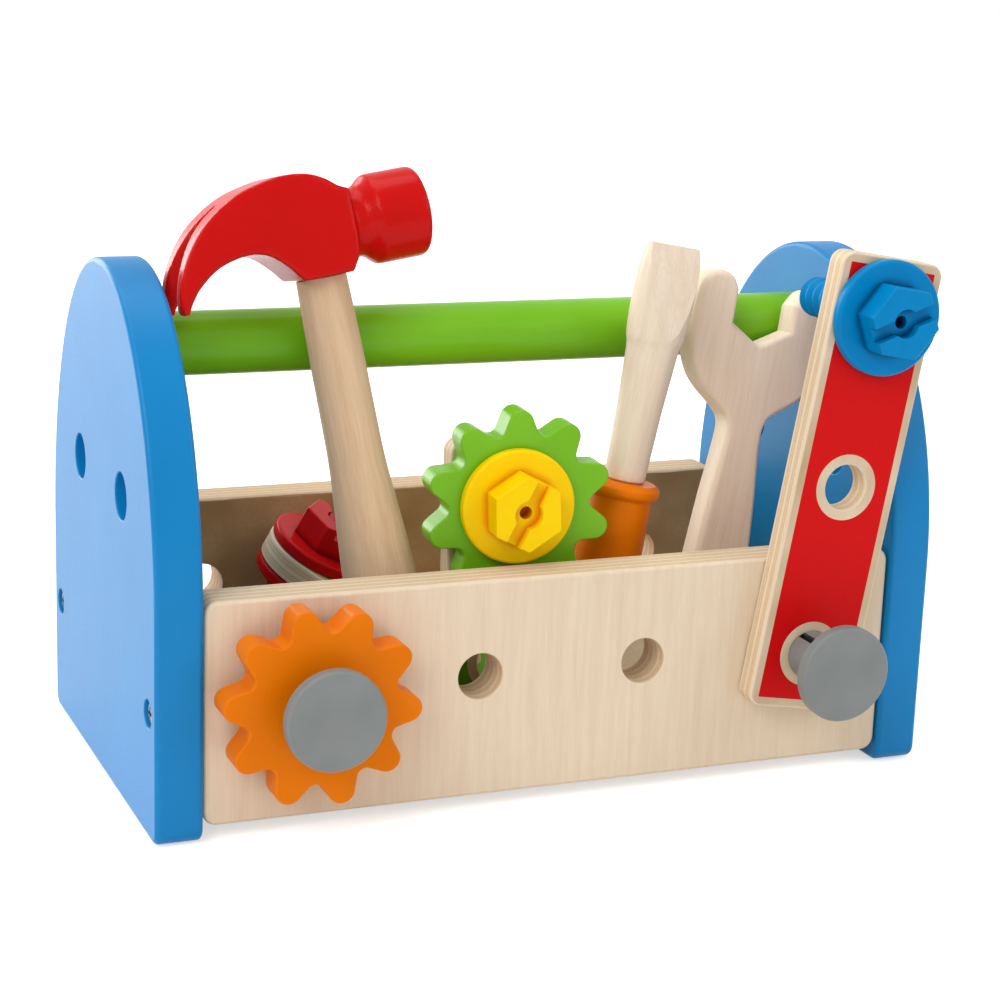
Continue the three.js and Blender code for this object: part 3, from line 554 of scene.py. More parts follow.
def rounded_rectangle(left, bottom, width, height, radius, steps=8):
    right, top = left + width - radius, bottom + height - radius
    return (arc(right, bottom + radius, radius, -90, 0, steps) + arc(right, top, radius, 0, 90, steps)
            + arc(left + radius, top, radius, 90, 180, steps)
            + arc(left + radius, bottom + radius, radius, 180, 270, steps))


def tidy_loop(points, gap=1e-4):
    """The points of a closed loop without those that lie on each other."""
    kept = []
    for point in map(Vector, points):
        if not kept or (point - kept[-1]).length > gap:
            kept.append(point)
    if (kept[0] - kept[-1]).length <= gap:
        kept.pop()
    return kept


def inset(loop, distance):
    """The loop moved to its left by distance, mitred at its corners."""
    moved_points = []
    for i, point in enumerate(loop):
        before = (point - loop[i - 1]).normalized()
        after = (loop[(i + 1) % len(loop)] - point).normalized()
        left = Vector((-before.y - after.y, before.x + after.x)).normalized()
        mitre = max(left.dot(Vector((-before.y, before.x))), NARROWEST_MITRE)
        moved_points.append(point + left * (distance / mitre))
    return moved_points


def quarter_round(steps):
    """A rounded edge: how far in and how far down it lies at each step, as shares of its radius."""
    bends = [math.pi / 2 * step / steps for step in range(steps + 1)]
    return [(1 - math.sin(bend), 1 - math.cos(bend)) for bend in bends]


def plate(outline, thickness, edge, holes=(), pockets=(), paint=None, steps=EDGE_STEPS):
    """A board in XY from zero to thickness. outline runs anticlockwise. Each hole is a loop that goes
    through, each pocket is (loop, depth, on the front face or not), and paint is (outline, rings): the
    printed area of both faces, and the bare rings in it."""
    vertices, faces, painted = [], [], []

    def ring(points, z):
        first = len(vertices)
        vertices.extend((p.x, p.y, z) for p in points)
        return list(range(first, len(vertices)))

    def walls(rings, outwards=True):
        for upper, lower in zip(rings, rings[1:]):
            if not outwards:
                upper, lower = lower, upper
            for i in range(len(upper)):
                j = (i + 1) % len(upper)
                faces.append((lower[i], lower[j], upper[j], upper[i]))

    def rounded(loop, radius, on_front):
        """Rings round an edge, from its face to the side of the loop."""
        level, inwards = (thickness, -1) if on_front else (0, 1)
        return [ring(inset(loop, radius * across), level + inwards * radius * down)
                for across, down in quarter_round(steps)]

    def cap(loops, up, second_finish=False):
        flat = [index for loop in loops for index in loop]
        for a, b, c in tessellate_polygon([[Vector(vertices[i]) for i in loop] for loop in loops]):
            pa, pb, pc = (Vector(vertices[flat[k]]) for k in (a, b, c))
            turn = (pb - pa).cross(pc - pa).z
            if abs(turn) < 1e-9:
                continue
            if second_finish:
                painted.append(len(faces))
            faces.append((flat[a], flat[b], flat[c]) if (turn > 0) == up else (flat[a], flat[c], flat[b]))

    front, back = [], []
    loops = [(tidy_loop(outline), edge)] + [(tidy_loop(hole)[::-1], HOLE_EDGE) for hole in holes]
    for loop, radius in loops:
        upper, lower = rounded(loop, radius, True), rounded(loop, radius, False)
        walls(upper + lower[::-1])
        front.append(upper[0])
        back.append(lower[0])
    for loop, depth, on_front in pockets:
        hole = tidy_loop(loop)[::-1]
        mouth = rounded(hole, HOLE_EDGE, on_front)
        floor = ring(hole, thickness - depth if on_front else depth)
        walls(mouth + [floor], on_front)
        cap([floor], on_front)
        (front if on_front else back).append(mouth[0])
    for loop_set, z, up in ((front, thickness, True), (back, 0, False)):
        if paint is None:
            cap(loop_set, up)
            continue
        area = ring(paint[0], z)
        rings = [ring(loop, z) for loop in paint[1]]
        cap([loop_set[0], area], up)
        cap([area] + rings, up, second_finish=True)
        for inner, outer in zip(loop_set[1:], rings):
            cap([outer, inner], up)
    return shape(vertices, faces, painted)


def turned(profile, sides=ROUND_SIDES):
    """A shape turned on a lathe: the profile is (radius, height) from the bottom to the top, along Z."""
    vertices, rings, faces = [], [], []
    for radius, height in profile:
        first = len(vertices)
        if radius < 1e-6:
            vertices.append((0, 0, height))
            rings.append([first] * sides)
            continue
        for side in range(sides):
            angle = TURN * side / sides
            vertices.append((radius * math.cos(angle), radius * math.sin(angle), height))
        rings.append(list(range(first, first + sides)))
    for lower, upper in zip(rings, rings[1:]):
        for i in range(sides):
            j = (i + 1) % sides
            corners = [lower[i], lower[j], upper[j], upper[i]]
            faces.append(tuple(dict.fromkeys(corners)))
    return shape(vertices, faces)


def cylinder(radius, bottom, top, sides=HOLE_SIDES):
    return turned([(0, bottom), (radius, bottom), (radius, top), (0, top)], sides)


def block(low, high):
    """A box between two opposite corners."""
    corners = [(x, y, z) for x in (low[0], high[0]) for y in (low[1], high[1]) for z in (low[2], high[2])]
    sides = [(0, 1, 3, 2), (4, 6, 7, 5), (0, 4, 5, 1), (2, 3, 7, 6), (0, 2, 6, 4), (1, 5, 7, 3)]
    return shape(corners, sides)


# Geometry Nodes for what repeats
def new_tree(name, inputs):
    """A geometry tree with named inputs, each (name, kind, value)."""
    tree = bpy.data.node_groups.new(name, "GeometryNodeTree")
    tree.interface.new_socket("Geometry", in_out="INPUT", socket_type="NodeSocketGeometry")
    tree.interface.new_socket("Geometry", in_out="OUTPUT", socket_type="NodeSocketGeometry")
    for label, kind, value in inputs:
        tree.interface.new_socket(label, in_out="INPUT", socket_type=kind).default_value = value
    return tree, add(tree, "NodeGroupInput").outputs


def close_tree(tree, geometry, material):
    """Ends a tree in Realize Instances, a weld and Set Material."""
    real = add(tree, "GeometryNodeRealizeInstances", {"Geometry": geometry})
    weld = add(tree, "GeometryNodeMergeByDistance", {"Geometry": real, "Distance": WELD})
    finish = add(tree, "GeometryNodeSetMaterial", {"Geometry": weld, "Material": material})
    add(tree, "NodeGroupOutput", {"Geometry": finish})
    return tree


def grow(thing, tree, **values):
    """Runs a tree on a shape and points its faces outwards. The tree's inputs are set by identifier before the
    shape is evaluated."""
    modifier = thing.modifiers.new("grow", "NODES")
    modifier.node_group = tree
    for item in tree.interface.items_tree:
        if item.in_out == "INPUT" and item.name in values:
            modifier[item.identifier] = values[item.name]
    bake(thing)
    skin = bmesh.new()
    skin.from_mesh(thing.data)
    bmesh.ops.remove_doubles(skin, verts=skin.verts, dist=LAST_WELD)
    bmesh.ops.recalc_face_normals(skin, faces=skin.faces)
    skin.to_mesh(thing.data)
    skin.free()
    return thing


def gear_tree(material):
    """One tooth's slice of the gear, repeated round its axis."""
    tree, source = new_tree("gear_from_one_tooth", [("Teeth", "NodeSocketInt", GEAR_TEETH)])
    angle = formula(tree, [("step", "DIVIDE", TURN, "teeth"), ("angle", "MULTIPLY", "index", "step")],
                    teeth=source["Teeth"], index=add(tree, "GeometryNodeInputIndex"))["angle"]
    copies = add(tree, "GeometryNodeInstanceOnPoints", {
        "Points": add(tree, "GeometryNodePoints", {"Count": source["Teeth"]}), "Instance": source["Geometry"],
        "Rotation": add(tree, "ShaderNodeCombineXYZ", {"Z": angle})})
    return close_tree(tree, copies, material)


def thread_tree(material):
    """A round-crested right-hand thread: a grid rolled round the axis, with a ridge that climbs one pitch
    to the turn, a tapered tip and both ends drawn to a point so that the skin is closed."""
    tree, source = new_tree("rolled_thread", [
        ("Length", "NodeSocketFloat", SHANK_LENGTH), ("Pitch", "NodeSocketFloat", THREAD_PITCH),
        ("Crest", "NodeSocketFloat", THREAD_CREST), ("Root", "NodeSocketFloat", THREAD_ROOT),
        ("Top", "NodeSocketFloat", FLANGE_THICKNESS / 2), ("Sides", "NodeSocketInt", SMALL_SIDES),
        ("Rows", "NodeSocketInt", THREAD_ROWS)])
    grid = add(tree, "GeometryNodeMeshGrid", {
        "Size X": 1.0, "Size Y": 1.0, "Vertices X": source["Sides"], "Vertices Y": source["Rows"]})
    place = add(tree, "ShaderNodeSeparateXYZ", {0: add(tree, "GeometryNodeInputPosition")}).outputs
    rolled = formula(tree, [
        ("angle", "MULTIPLY", "across", TURN), ("share", "SUBTRACT", 0.5, "along"),
        ("whole", "ADD", "length", "top"), ("down", "MULTIPLY", "share", "whole"),
        ("height", "SUBTRACT", "top", "down"), ("climb", "MULTIPLY", "height", TURN),
        ("turn", "DIVIDE", "climb", "pitch"), ("phase", "SUBTRACT", "turn", "angle"),
        ("wave", "COSINE", "phase"), ("depth", "SUBTRACT", "crest", "root"), ("half", "DIVIDE", "depth", 2.0),
        ("both", "ADD", "crest", "root"), ("middle", "DIVIDE", "both", 2.0),
        ("ridge", "MULTIPLY_ADD", "wave", "half", "middle"), ("from_tip", "ADD", "height", "length"),
        ("end", "SUBTRACT", "root", THREAD_TAPER), ("taper", "ADD", "from_tip", "end"),
        ("off", "ABSOLUTE", "along"), ("inner", "LESS_THAN", "off", GRID_END),
        ("skin", "MINIMUM", "ridge", "taper"),
        ("radius", "MULTIPLY", "skin", "inner"), ("cosine", "COSINE", "angle"), ("sine", "SINE", "angle"),
        ("x", "MULTIPLY", "radius", "cosine"), ("y", "MULTIPLY", "radius", "sine")],
        across=place["X"], along=place["Y"], length=source["Length"], pitch=source["Pitch"],
        crest=source["Crest"], root=source["Root"], top=source["Top"])
    where = add(tree, "ShaderNodeCombineXYZ", {"X": rolled["x"], "Y": rolled["y"], "Z": rolled["height"]})
    thread = add(tree, "GeometryNodeSetPosition", {"Geometry": grid, "Position": where})
    return close_tree(tree, thread, material)


def screw_tree(material):
    """The four panel screws: one screw repeated at both ends of the front and back rows."""
    tree, source = new_tree("screws_at_both_ends", [
        ("Head face", "NodeSocketFloat", SCREW_HEAD_FACE_X), ("Row", "NodeSocketFloat", SCREW_ROW),
        ("Middle", "NodeSocketFloat", BOX_MIDDLE_Y), ("Height", "NodeSocketFloat", SCREW_HEIGHT)])
    spot = formula(tree, [
        ("odd", "FLOORED_MODULO", "index", 2.0), ("end", "MULTIPLY_ADD", "odd", 2.0, -1.0),
        ("halved", "DIVIDE", "index", 2.0), ("pair", "FLOOR", "halved"),
        ("side", "MULTIPLY_ADD", "pair", 2.0, -1.0), ("x", "MULTIPLY", "end", "face"),
        ("y", "MULTIPLY_ADD", "side", "row", "middle"), ("turn", "MULTIPLY", "end", TURN / 4)],
        index=add(tree, "GeometryNodeInputIndex"), face=source["Head face"], row=source["Row"],
        middle=source["Middle"])
    where = add(tree, "ShaderNodeCombineXYZ", {"X": spot["x"], "Y": spot["y"], "Z": source["Height"]})
    copies = add(tree, "GeometryNodeInstanceOnPoints", {
        "Points": add(tree, "GeometryNodePoints", {"Count": 4, "Position": where}),
        "Instance": source["Geometry"], "Rotation": add(tree, "ShaderNodeCombineXYZ", {"Y": spot["turn"]})})
    return close_tree(tree, copies, material)


# Handing a piece over to the frame
def settle(thing, name, body, nodes, materials, grain_up=False, sharp=40):
    """Gives a drawn shape its finish and its place; a piece with no place of its own is drawn where it belongs.
    The drawn coordinates stay on the mesh, so that grain and plies follow the piece however it lies; grain_up
    turns the grain to the piece's own Z."""
    mesh = thing.data
    finishes = [polygon.material_index if len(materials) > 1 else 0 for polygon in mesh.polygons]
    mesh.materials.clear()
    for material in materials:
        mesh.materials.append(material)
    mesh.polygons.foreach_set("material_index", finishes)
    mesh.shade_smooth()
    mesh.set_sharp_from_angle(angle=math.radians(sharp))
    modifier = thing.modifiers.new("faces", "WEIGHTED_NORMAL")
    modifier.keep_sharp = True
    modifier.weight = 80
    bake(thing)
    mesh = thing.data
    drawn = mesh.attributes.new("drawn", "FLOAT_VECTOR", "POINT")
    values = []
    for vertex in mesh.vertices:
        x, y, z = vertex.co
        values.extend((x, z, y) if grain_up else (x, y, z))
    drawn.data.foreach_set("vector", values)
    mesh.transform(Matrix.Diagonal((MM, MM, MM, 1)) @ places.get(nodes[0], Matrix.Identity(4)))
    thing.name = name
    mesh.name = name
    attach(thing, body)
    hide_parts(*nodes)
    return thing


# The box
def arch_outline():
    """An end panel's outline: a half oval on two straight sides."""
    half = BOX_DEPTH / 2
    rise = BOX_HEIGHT - ARCH_START
    angles = [math.pi * step / ARCH_STEPS for step in range(ARCH_STEPS + 1)]
    arch = [(half * math.cos(a), ARCH_START + rise * math.sin(a)) for a in angles]
    return (arc(half - PANEL_CORNER, PANEL_CORNER, PANEL_CORNER, -90, 0) + arch
            + arc(PANEL_CORNER - half, PANEL_CORNER, PANEL_CORNER, 180, 270))


for side, outward_front in (("left", False), ("right", True)):
    end_holes = [circle(x, END_HOLE_HEIGHT, HOLE_RADIUS) for x in (-HOLE_PITCH / 2, HOLE_PITCH / 2)]
    recesses = [(circle(x, SCREW_HEIGHT, SCREW_HEAD_RADIUS + SEAM, RECESS_SIDES), SCREW_RECESS, outward_front)
                for x in (-SCREW_ROW, SCREW_ROW)]
    socket = [(circle(0, ROD_HEIGHT, ROD_RADIUS + SEAM), ROD_SOCKET, not outward_front)]
    panel = plate(arch_outline(), END_THICKNESS, END_EDGE, end_holes, recesses + socket)
    settle(panel, f"end_panel_{side}_board", "box", [f"end_panel_{side}"], [blue_paint])

half_inside = BOX_LENGTH / 2 - END_THICKNESS - SEAM
# The back panel's ply carries painted bounce light.
for side, finish in (("front", birch_ply), ("back", bounce_tinted_ply)):
    outline = rounded_rectangle(
        -half_inside, SIDE_BOTTOM, 2 * half_inside, SIDE_TOP - SIDE_BOTTOM, PANEL_CORNER)
    holes = [circle((i - 1.5) * HOLE_PITCH, HOLE_ROW, HOLE_RADIUS) for i in range(4)]
    panel = plate(outline, SIDE_THICKNESS, SIDE_EDGE, holes)
    groove_end, groove_start = half_inside + 2.5 * OVERRUN, -2.5 * OVERRUN
    combine(panel, [block((-groove_end, BASE_TOP - BASE_THICKNESS - SEAM, groove_start),
                          (groove_end, BASE_TOP + SEAM, GROOVE_DEPTH))])
    settle(panel, f"{side}_panel_board", "box", [f"{side}_panel"], [finish])

base_half_depth = BOX_DEPTH / 2 - SIDE_INSET - SIDE_THICKNESS + GROOVE_DEPTH - SEAM
base_outline = rounded_rectangle(
    -half_inside, -base_half_depth, 2 * half_inside, 2 * base_half_depth, BASE_CORNER)
base = plate(base_outline, BASE_THICKNESS, BASE_EDGE)
settle(base, "base_board", "box", ["base_panel"], [birch_ply])

rod_half = BOX_LENGTH / 2 - END_THICKNESS + ROD_SOCKET - SEAM
rod_face, rod_start = ROD_RADIUS - ROD_END_EDGE, rod_half - ROD_END_EDGE
rod = turned([(0, -rod_half), (rod_face, -rod_half)]
             + [(ROD_RADIUS, z) for z in (-rod_start, -60, 0, 60, rod_start)]
             + [(rod_face, rod_half), (0, rod_half)], FINE_SIDES)
settle(rod, "handle_rod_turned", "box", ["handle_rod"], [green_paint], grain_up=True)

screw_tip = -SCREW_HEAD_LENGTH - SCREW_SHANK_LENGTH
screw = turned([
    (0, screw_tip), (SCREW_SHANK_RADIUS / 2, screw_tip + 1), (SCREW_SHANK_RADIUS, screw_tip + 4),
    (SCREW_SHANK_RADIUS, -SCREW_HEAD_LENGTH), (SCREW_HEAD_RADIUS - 0.2, -SCREW_HEAD_LENGTH),
    (SCREW_HEAD_RADIUS, -SCREW_HEAD_LENGTH + 0.3), (SCREW_HEAD_RADIUS, -1.3), (SCREW_HEAD_RADIUS - 0.3, -0.7),
    (SCREW_HEAD_RADIUS * 0.7, -0.15), (SCREW_HEAD_RADIUS * 0.35, 0), (0, 0)], SMALL_SIDES)
combine(screw, [block((-along, -across, -CROSS_DEPTH), (along, across, OVERRUN / 2))
                for along, across in ((CROSS_REACH, CROSS_HALF_WIDTH), (CROSS_HALF_WIDTH, CROSS_REACH))])
grow(screw, screw_tree(screw_steel))
settle(screw, "panel_screws", "box",
       [f"panel_screw_{row}_{end}" for row in ("front", "back") for end in ("left", "right")],
       [screw_steel], sharp=30)


# Gears
def tooth_slice():
    """One tooth with its half valleys and its share of the bore: a ring of section points at each place
    along the tooth's outline, joined into one skin that is open where the next tooth starts."""
    pitch = TURN / GEAR_TEETH

    def valley(angle, start, end):
        where = Vector((math.cos(angle), math.sin(angle))) * (GEAR_ROOT + ROOT_ROUND)
        turn = math.degrees(angle) + 180
        return arc(where.x, where.y, ROOT_ROUND, turn + start, turn + end, 5)

    tip = arc(GEAR_OUTER - TIP_ROUND, 0, TIP_ROUND, -TIP_SWEEP / 2, TIP_SWEEP / 2, 14)
    line = valley(-pitch / 2, 0, -ROOT_SWEEP / 2) + tip + valley(pitch / 2, ROOT_SWEEP / 2, 0)
    closed = tidy_loop(Matrix.Rotation(k * pitch, 2) @ point for k in (-1, 0, 1) for point in line)
    first = len(closed) // 3
    last = 2 * first
    edge = quarter_round(EDGE_STEPS)
    pushed = [inset(closed, GEAR_EDGE * across) for across, _ in edge]
    vertices, faces, rows = [], [], []
    for i in range(first, last + 1):
        angle = {first: -pitch / 2, last: pitch / 2}.get(i, math.atan2(closed[i].y, closed[i].x))
        bore = Vector((math.cos(angle), math.sin(angle)))
        section = []
        for side in ([(*loop[i], GEAR_THICKNESS - GEAR_EDGE * down) for loop, (_, down) in zip(pushed, edge)],
                     [(*bore * (GEAR_BORE + HOLE_EDGE * across), HOLE_EDGE * down) for across, down in edge]):
            section += side + [(x, y, GEAR_THICKNESS - z) for x, y, z in reversed(side)]
        rows.append(list(range(len(vertices), len(vertices) + len(section))))
        vertices.extend(section)
    for here, there in zip(rows, rows[1:]):
        for k in range(len(here)):
            after = (k + 1) % len(here)
            faces.append((here[k], here[after], there[after], there[k]))
    return shape(vertices, faces)


for tone, paint in (("orange", orange_paint), ("green", green_paint)):
    gear = grow(tooth_slice(), gear_tree(paint), Teeth=GEAR_TEETH)
    settle(gear, f"{tone}_gear_wheel", f"{tone}_gear", [f"{tone}_gear"], [paint])


# Strips
def strip(hole_count, corner=STRIP_CORNER, paint_corner=PAINT_CORNER, corner_steps=8):
    """A board with a row of holes, printed but for a margin round it and a ring round each hole."""
    left, length = STRIP_WIDTH / 2, (hole_count - 1) * HOLE_PITCH + 2 * STRIP_END
    spots = [i * HOLE_PITCH for i in range(hole_count)]
    outline = rounded_rectangle(-left, -STRIP_END, STRIP_WIDTH, length, corner, corner_steps)
    printed = rounded_rectangle(PAINT_MARGIN - left, PAINT_MARGIN - STRIP_END, STRIP_WIDTH - 2 * PAINT_MARGIN,
                                length - 2 * PAINT_MARGIN, paint_corner, PAINT_STEPS)
    return plate(outline, STRIP_THICKNESS, STRIP_EDGE, [circle(0, y, HOLE_RADIUS) for y in spots],
                 paint=(printed, [circle(0, y, PAINT_RING_RADIUS) for y in spots]))


for name, form, slot, paint in (
        ("red_strip", [3], "red_paint", red_print), ("green_strip", [2], "green_face", green_print),
        ("round_link", [2, LINK_END_ROUND, LINK_END_ROUND - PAINT_MARGIN, LINK_STEPS], "green_face",
         green_print)):
    settle(strip(*form), f"{name}_board", name, [name], [birch_ply, paint])


# Bolts and nuts
def hexagon(across_flats):
    """A hexagon with rounded corners, two of its sides upright."""
    corner_circle = across_flats / math.sqrt(3) - HEX_CORNER / math.cos(math.pi / 6)
    points = []
    for angle in range(30, 360, 60):
        x, y = corner_circle * math.cos(math.radians(angle)), corner_circle * math.sin(math.radians(angle))
        points += arc(x, y, HEX_CORNER, angle - 30, angle + 30, 4)
    return points


def flange(bottom):
    """The round flange that a bolt and a nut share."""
    top = bottom + FLANGE_THICKNESS
    under, over = FLANGE_UNDER_EDGE, FLANGE_EDGE
    return turned([(0, bottom)] + arc(FLANGE_RADIUS - under, bottom + under, under, -90, 0, 4)
                  + arc(FLANGE_RADIUS - over, top - over, over, 0, 90) + [(0, top)], FINE_SIDES)


def bolt(slot_turn, material):
    """Bolt with its flange's underside at zero, a hexagon above it and the threaded shank below."""
    top = FLANGE_THICKNESS + HEAD_HEIGHT
    head = plate(hexagon(HEX_ACROSS_FLATS), top - HEAD_START, HEX_EDGE, steps=3)
    moved(head, Matrix.Translation((0, 0, HEAD_START)))
    floor = top - SLOT_DEPTH
    slot = block((-HEX_ACROSS_FLATS, -SLOT_WIDTH / 2, floor), (HEX_ACROSS_FLATS, SLOT_WIDTH / 2, top + OVERRUN))
    pocket = cylinder(POCKET_RADIUS, floor - SHARP_EDGE, top + 1.25 * OVERRUN, SMALL_SIDES)
    bore = cylinder(BORE_RADIUS, top - BORE_DEPTH, top + 1.5 * OVERRUN, BORE_SIDES)
    soften(combine(head, [slot, pocket, bore]), HEAD_SOFTENING, 50)
    shank = grow(block((0, 0, 0), (1, 1, 1)), thread_tree(material))
    combine(head, [flange(0), shank], "UNION")
    return moved(head, Matrix.Rotation(math.radians(slot_turn), 4, "Z"))


def nut():
    """Nut with its flange's face at zero and the hexagon below."""
    bottom = -FLANGE_THICKNESS - NUT_HEIGHT
    body = plate(hexagon(HEX_ACROSS_FLATS), NUT_HEIGHT + OVERRUN, HEX_EDGE, steps=3)
    moved(body, Matrix.Translation((0, 0, bottom)))
    combine(body, [flange(-FLANGE_THICKNESS)], "UNION")
    return combine(body, [cylinder(NUT_BORE, bottom - OVERRUN, OVERRUN)])


for tone, slot_turn, plastic in (("blue", 29.4, blue_plastic), ("yellow", 63, yellow_plastic),
                                 ("red", 35, red_plastic)):
    settle(bolt(slot_turn, plastic), f"{tone}_bolt_moulded", f"{tone}_bolt", [f"{tone}_bolt"],
           [plastic], sharp=35)

for tone, plastic in (("yellow", yellow_plastic), ("red", red_plastic)):
    settle(nut(), f"{tone}_nut_moulded", f"{tone}_nut", [f"{tone}_nut"], [plastic], sharp=35)


# Pegs
def peg():
    """Push-in peg with the underside of its head at zero, a collar and a split shank below."""
    tip, collar, under, head = -PEG_SHANK_LENGTH, -PEG_COLLAR_LENGTH, PEG_UNDER_EDGE, PEG_HEAD_EDGE
    body = turned(
        [(0, tip)] + arc(PEG_SHANK_RADIUS - PEG_TIP_EDGE, tip + PEG_TIP_EDGE, PEG_TIP_EDGE, -90, 0)
        + [(PEG_SHANK_RADIUS, collar)]
        + arc(PEG_COLLAR_RADIUS - PEG_COLLAR_EDGE, collar + PEG_COLLAR_EDGE, PEG_COLLAR_EDGE, -90, 0, 4)
        + [(PEG_COLLAR_RADIUS, -under)] + arc(PEG_HEAD_RADIUS - under, under, under, -90, 0, 4)
        + arc(PEG_HEAD_RADIUS - head, PEG_HEAD_THICKNESS - head, head, 0, 90)
        + [(PEG_HEAD_RADIUS * 0.5, PEG_HEAD_THICKNESS), (0, PEG_HEAD_THICKNESS)], FINE_SIDES)
    slit = block((-2 * PEG_SHANK_RADIUS, -PEG_SLOT_WIDTH / 2, tip - 1.5 * OVERRUN),
                 (2 * PEG_SHANK_RADIUS, PEG_SLOT_WIDTH / 2, -PEG_SLOT_START))
    return combine(body, [moved(slit, Matrix.Rotation(math.radians(PEG_SLOT_TURN), 4, "Z"))])


for name in ("left_peg", "right_peg"):
    settle(peg(), f"{name}_moulded", name, [name], [grey_plastic])


# Hammer
def hammer_handle():
    """Turned, with a full grip that narrows to the neck and ends in a tenon."""
    r, n = GRIP_RADIUS, HANDLE_LENGTH
    start, end = n - SEAM, n + TENON_LENGTH - SEAM
    foot = arc(r - FOOT_ROUND, FOOT_ROUND, 3.0, -90, -10, 8)
    sweep = spline([
        (r * 0.985, 3.5), (r, n * 0.16), (r, n * 0.3), (r * 0.94, n * 0.4), (r * 0.84, n * 0.5),
        (HANDLE_RADIUS * 1.03, n * 0.6), (HANDLE_RADIUS, n * 0.7), (HANDLE_RADIUS * 0.98, n * 0.84),
        (NECK_RADIUS, start)])
    tenon = [(TENON_RADIUS, start), (TENON_RADIUS, end), (0, end)]
    return turned([(0, foot[0].y)] + foot + sweep + tenon)


def hammer_head():
    """Cheek with a claw that runs on from it, and a turned striking face, blended into one skin."""
    def at(reach, height):
        return CLAW_REACH * reach, HEAD_TALL * height

    foot = spline([(CHEEK_RIGHT * 0.7, 0), at(0.17, 0.05), at(0.2, 0.12), at(0.215, 0.2),
                   (CHEEK_RIGHT, HEAD_TALL * 0.32)], 4)
    top = spline([(CHEEK_RIGHT, HEAD_TALL * 0.775), at(0.15, 0.82), at(0.09, 0.89), at(0, 0.96),
                  at(-0.1, 0.995), at(-0.23, 1), at(-0.35, 0.97), at(-0.48, 0.92), at(-0.62, 0.82),
                  at(-0.76, 0.67), at(-0.87, 0.48), at(-0.95, 0.27), at(-0.99, 0.08),
                  (-CLAW_REACH, -CLAW_DROP * 0.5)], 6)
    under = spline([(-CLAW_REACH * 0.95, -CLAW_DROP), at(-0.92, -0.01), at(-0.84, 0.13), at(-0.7, 0.27),
                    at(-0.52, 0.33), at(-0.38, 0.29), at(-0.26, 0.14), (-CHEEK_LEFT, 0)], 6)
    cheek = plate(foot + top + [(-CLAW_REACH * 0.985, -CLAW_DROP)] + under, HEAD_THICK, HEAD_EDGE, steps=3)
    moved(cheek, Matrix.Translation((0, 0, -HEAD_THICK / 2)))

    claw_slot = ((1, 0.08), (0.75, 0.2), (0.5, 0.38), (0.36, 0.56), (0.2, 0.8), (0, 0.98), (-0.1, 1.02))
    edge = spline([(-CLAW_REACH + CLAW_SLOT_LENGTH * depth, CLAW_SLOT_WIDTH / 2 * width)
                   for depth, width in claw_slot], 4)
    slot = plate(edge + [(x, -y) for x, y in reversed(edge)], 3 * HEAD_TALL, SHARP_EDGE, steps=1)
    moved(slot, Matrix.Translation((0, 1.5 * HEAD_TALL, 0)) @ Matrix.Rotation(math.pi / 2, 4, "X"))
    combine(cheek, [slot])

    neck = spline([(FACE_NECK + 0.3, CHEEK_RIGHT - FACE_EDGE), (FACE_NECK, CHEEK_RIGHT + FACE_EDGE),
                   (FACE_NECK + 0.3, FACE_START - 2 * FACE_EDGE), (FACE_RADIUS - 0.3, FACE_START),
                   (FACE_RADIUS, FACE_START + FACE_EDGE)], 6)
    inside = CHEEK_RIGHT - FACE_ROOT
    face = turned([(0, inside), (FACE_NECK, inside)] + neck
                  + arc(FACE_RADIUS - FACE_EDGE, FACE_END - FACE_EDGE, FACE_EDGE, 0, 90) + [(0, FACE_END)])
    moved(face, Matrix.Translation((0, HEAD_TALL * 0.44, 0)) @ Matrix.Rotation(math.pi / 2, 4, "Y"))
    combine(cheek, [face], "UNION")

    blend = cheek.modifiers.new("blend", "REMESH")
    blend.mode = "VOXEL"
    blend.voxel_size = SANDING_GRAIN
    sanded = cheek.modifiers.new("sanded", "SMOOTH")
    sanded.factor = 0.5
    sanded.iterations = SANDING_PASSES
    bake(cheek)
    socket = cylinder(TENON_RADIUS + SEAM, -2.5 * OVERRUN, TENON_LENGTH + SEAM)
    return combine(cheek, [moved(socket, Matrix.Rotation(-math.pi / 2, 4, "X"))])


settle(hammer_handle(), "hammer_handle_turned", "hammer", ["hammer_handle"], [beech],
       grain_up=True)
settle(hammer_head(), "hammer_head_shaped", "hammer", ["hammer_head"], [red_gloss], sharp=60)


# Screwdriver
def driver_handle():
    """Turned, with a rounded foot, a bead at the top and a socket for the shaft."""
    n, r = DRIVER_GRIP, DRIVER_RADIUS
    low, bead, quarter = n - BEAD_HEIGHT, n - BEAD_HEIGHT / 2, BEAD_HEIGHT / 4
    foot = arc(r * 0.96 - FOOT_ROUND, FOOT_ROUND, FOOT_ROUND, -90, -8, 8)
    sweep = spline([(r * 0.96, 3.5), (r * 0.985, n * 0.2), (r, n * 0.4), (r * 0.985, n * 0.65),
                    (r * 0.94, low - 0.3)], 6)
    ring = spline([(r * 0.96, low), (BEAD_RADIUS - 0.3, bead - quarter), (BEAD_RADIUS, bead),
                   (BEAD_RADIUS - 0.3, bead + quarter), (r * 0.95, n)], 6)
    socket = cylinder(DRIVER_TENON_RADIUS + SEAM, n - DRIVER_TENON_LENGTH, n + 1.5 * OVERRUN)
    return combine(turned([(0, 0)] + foot + sweep + ring + [(0, n)]), [socket])


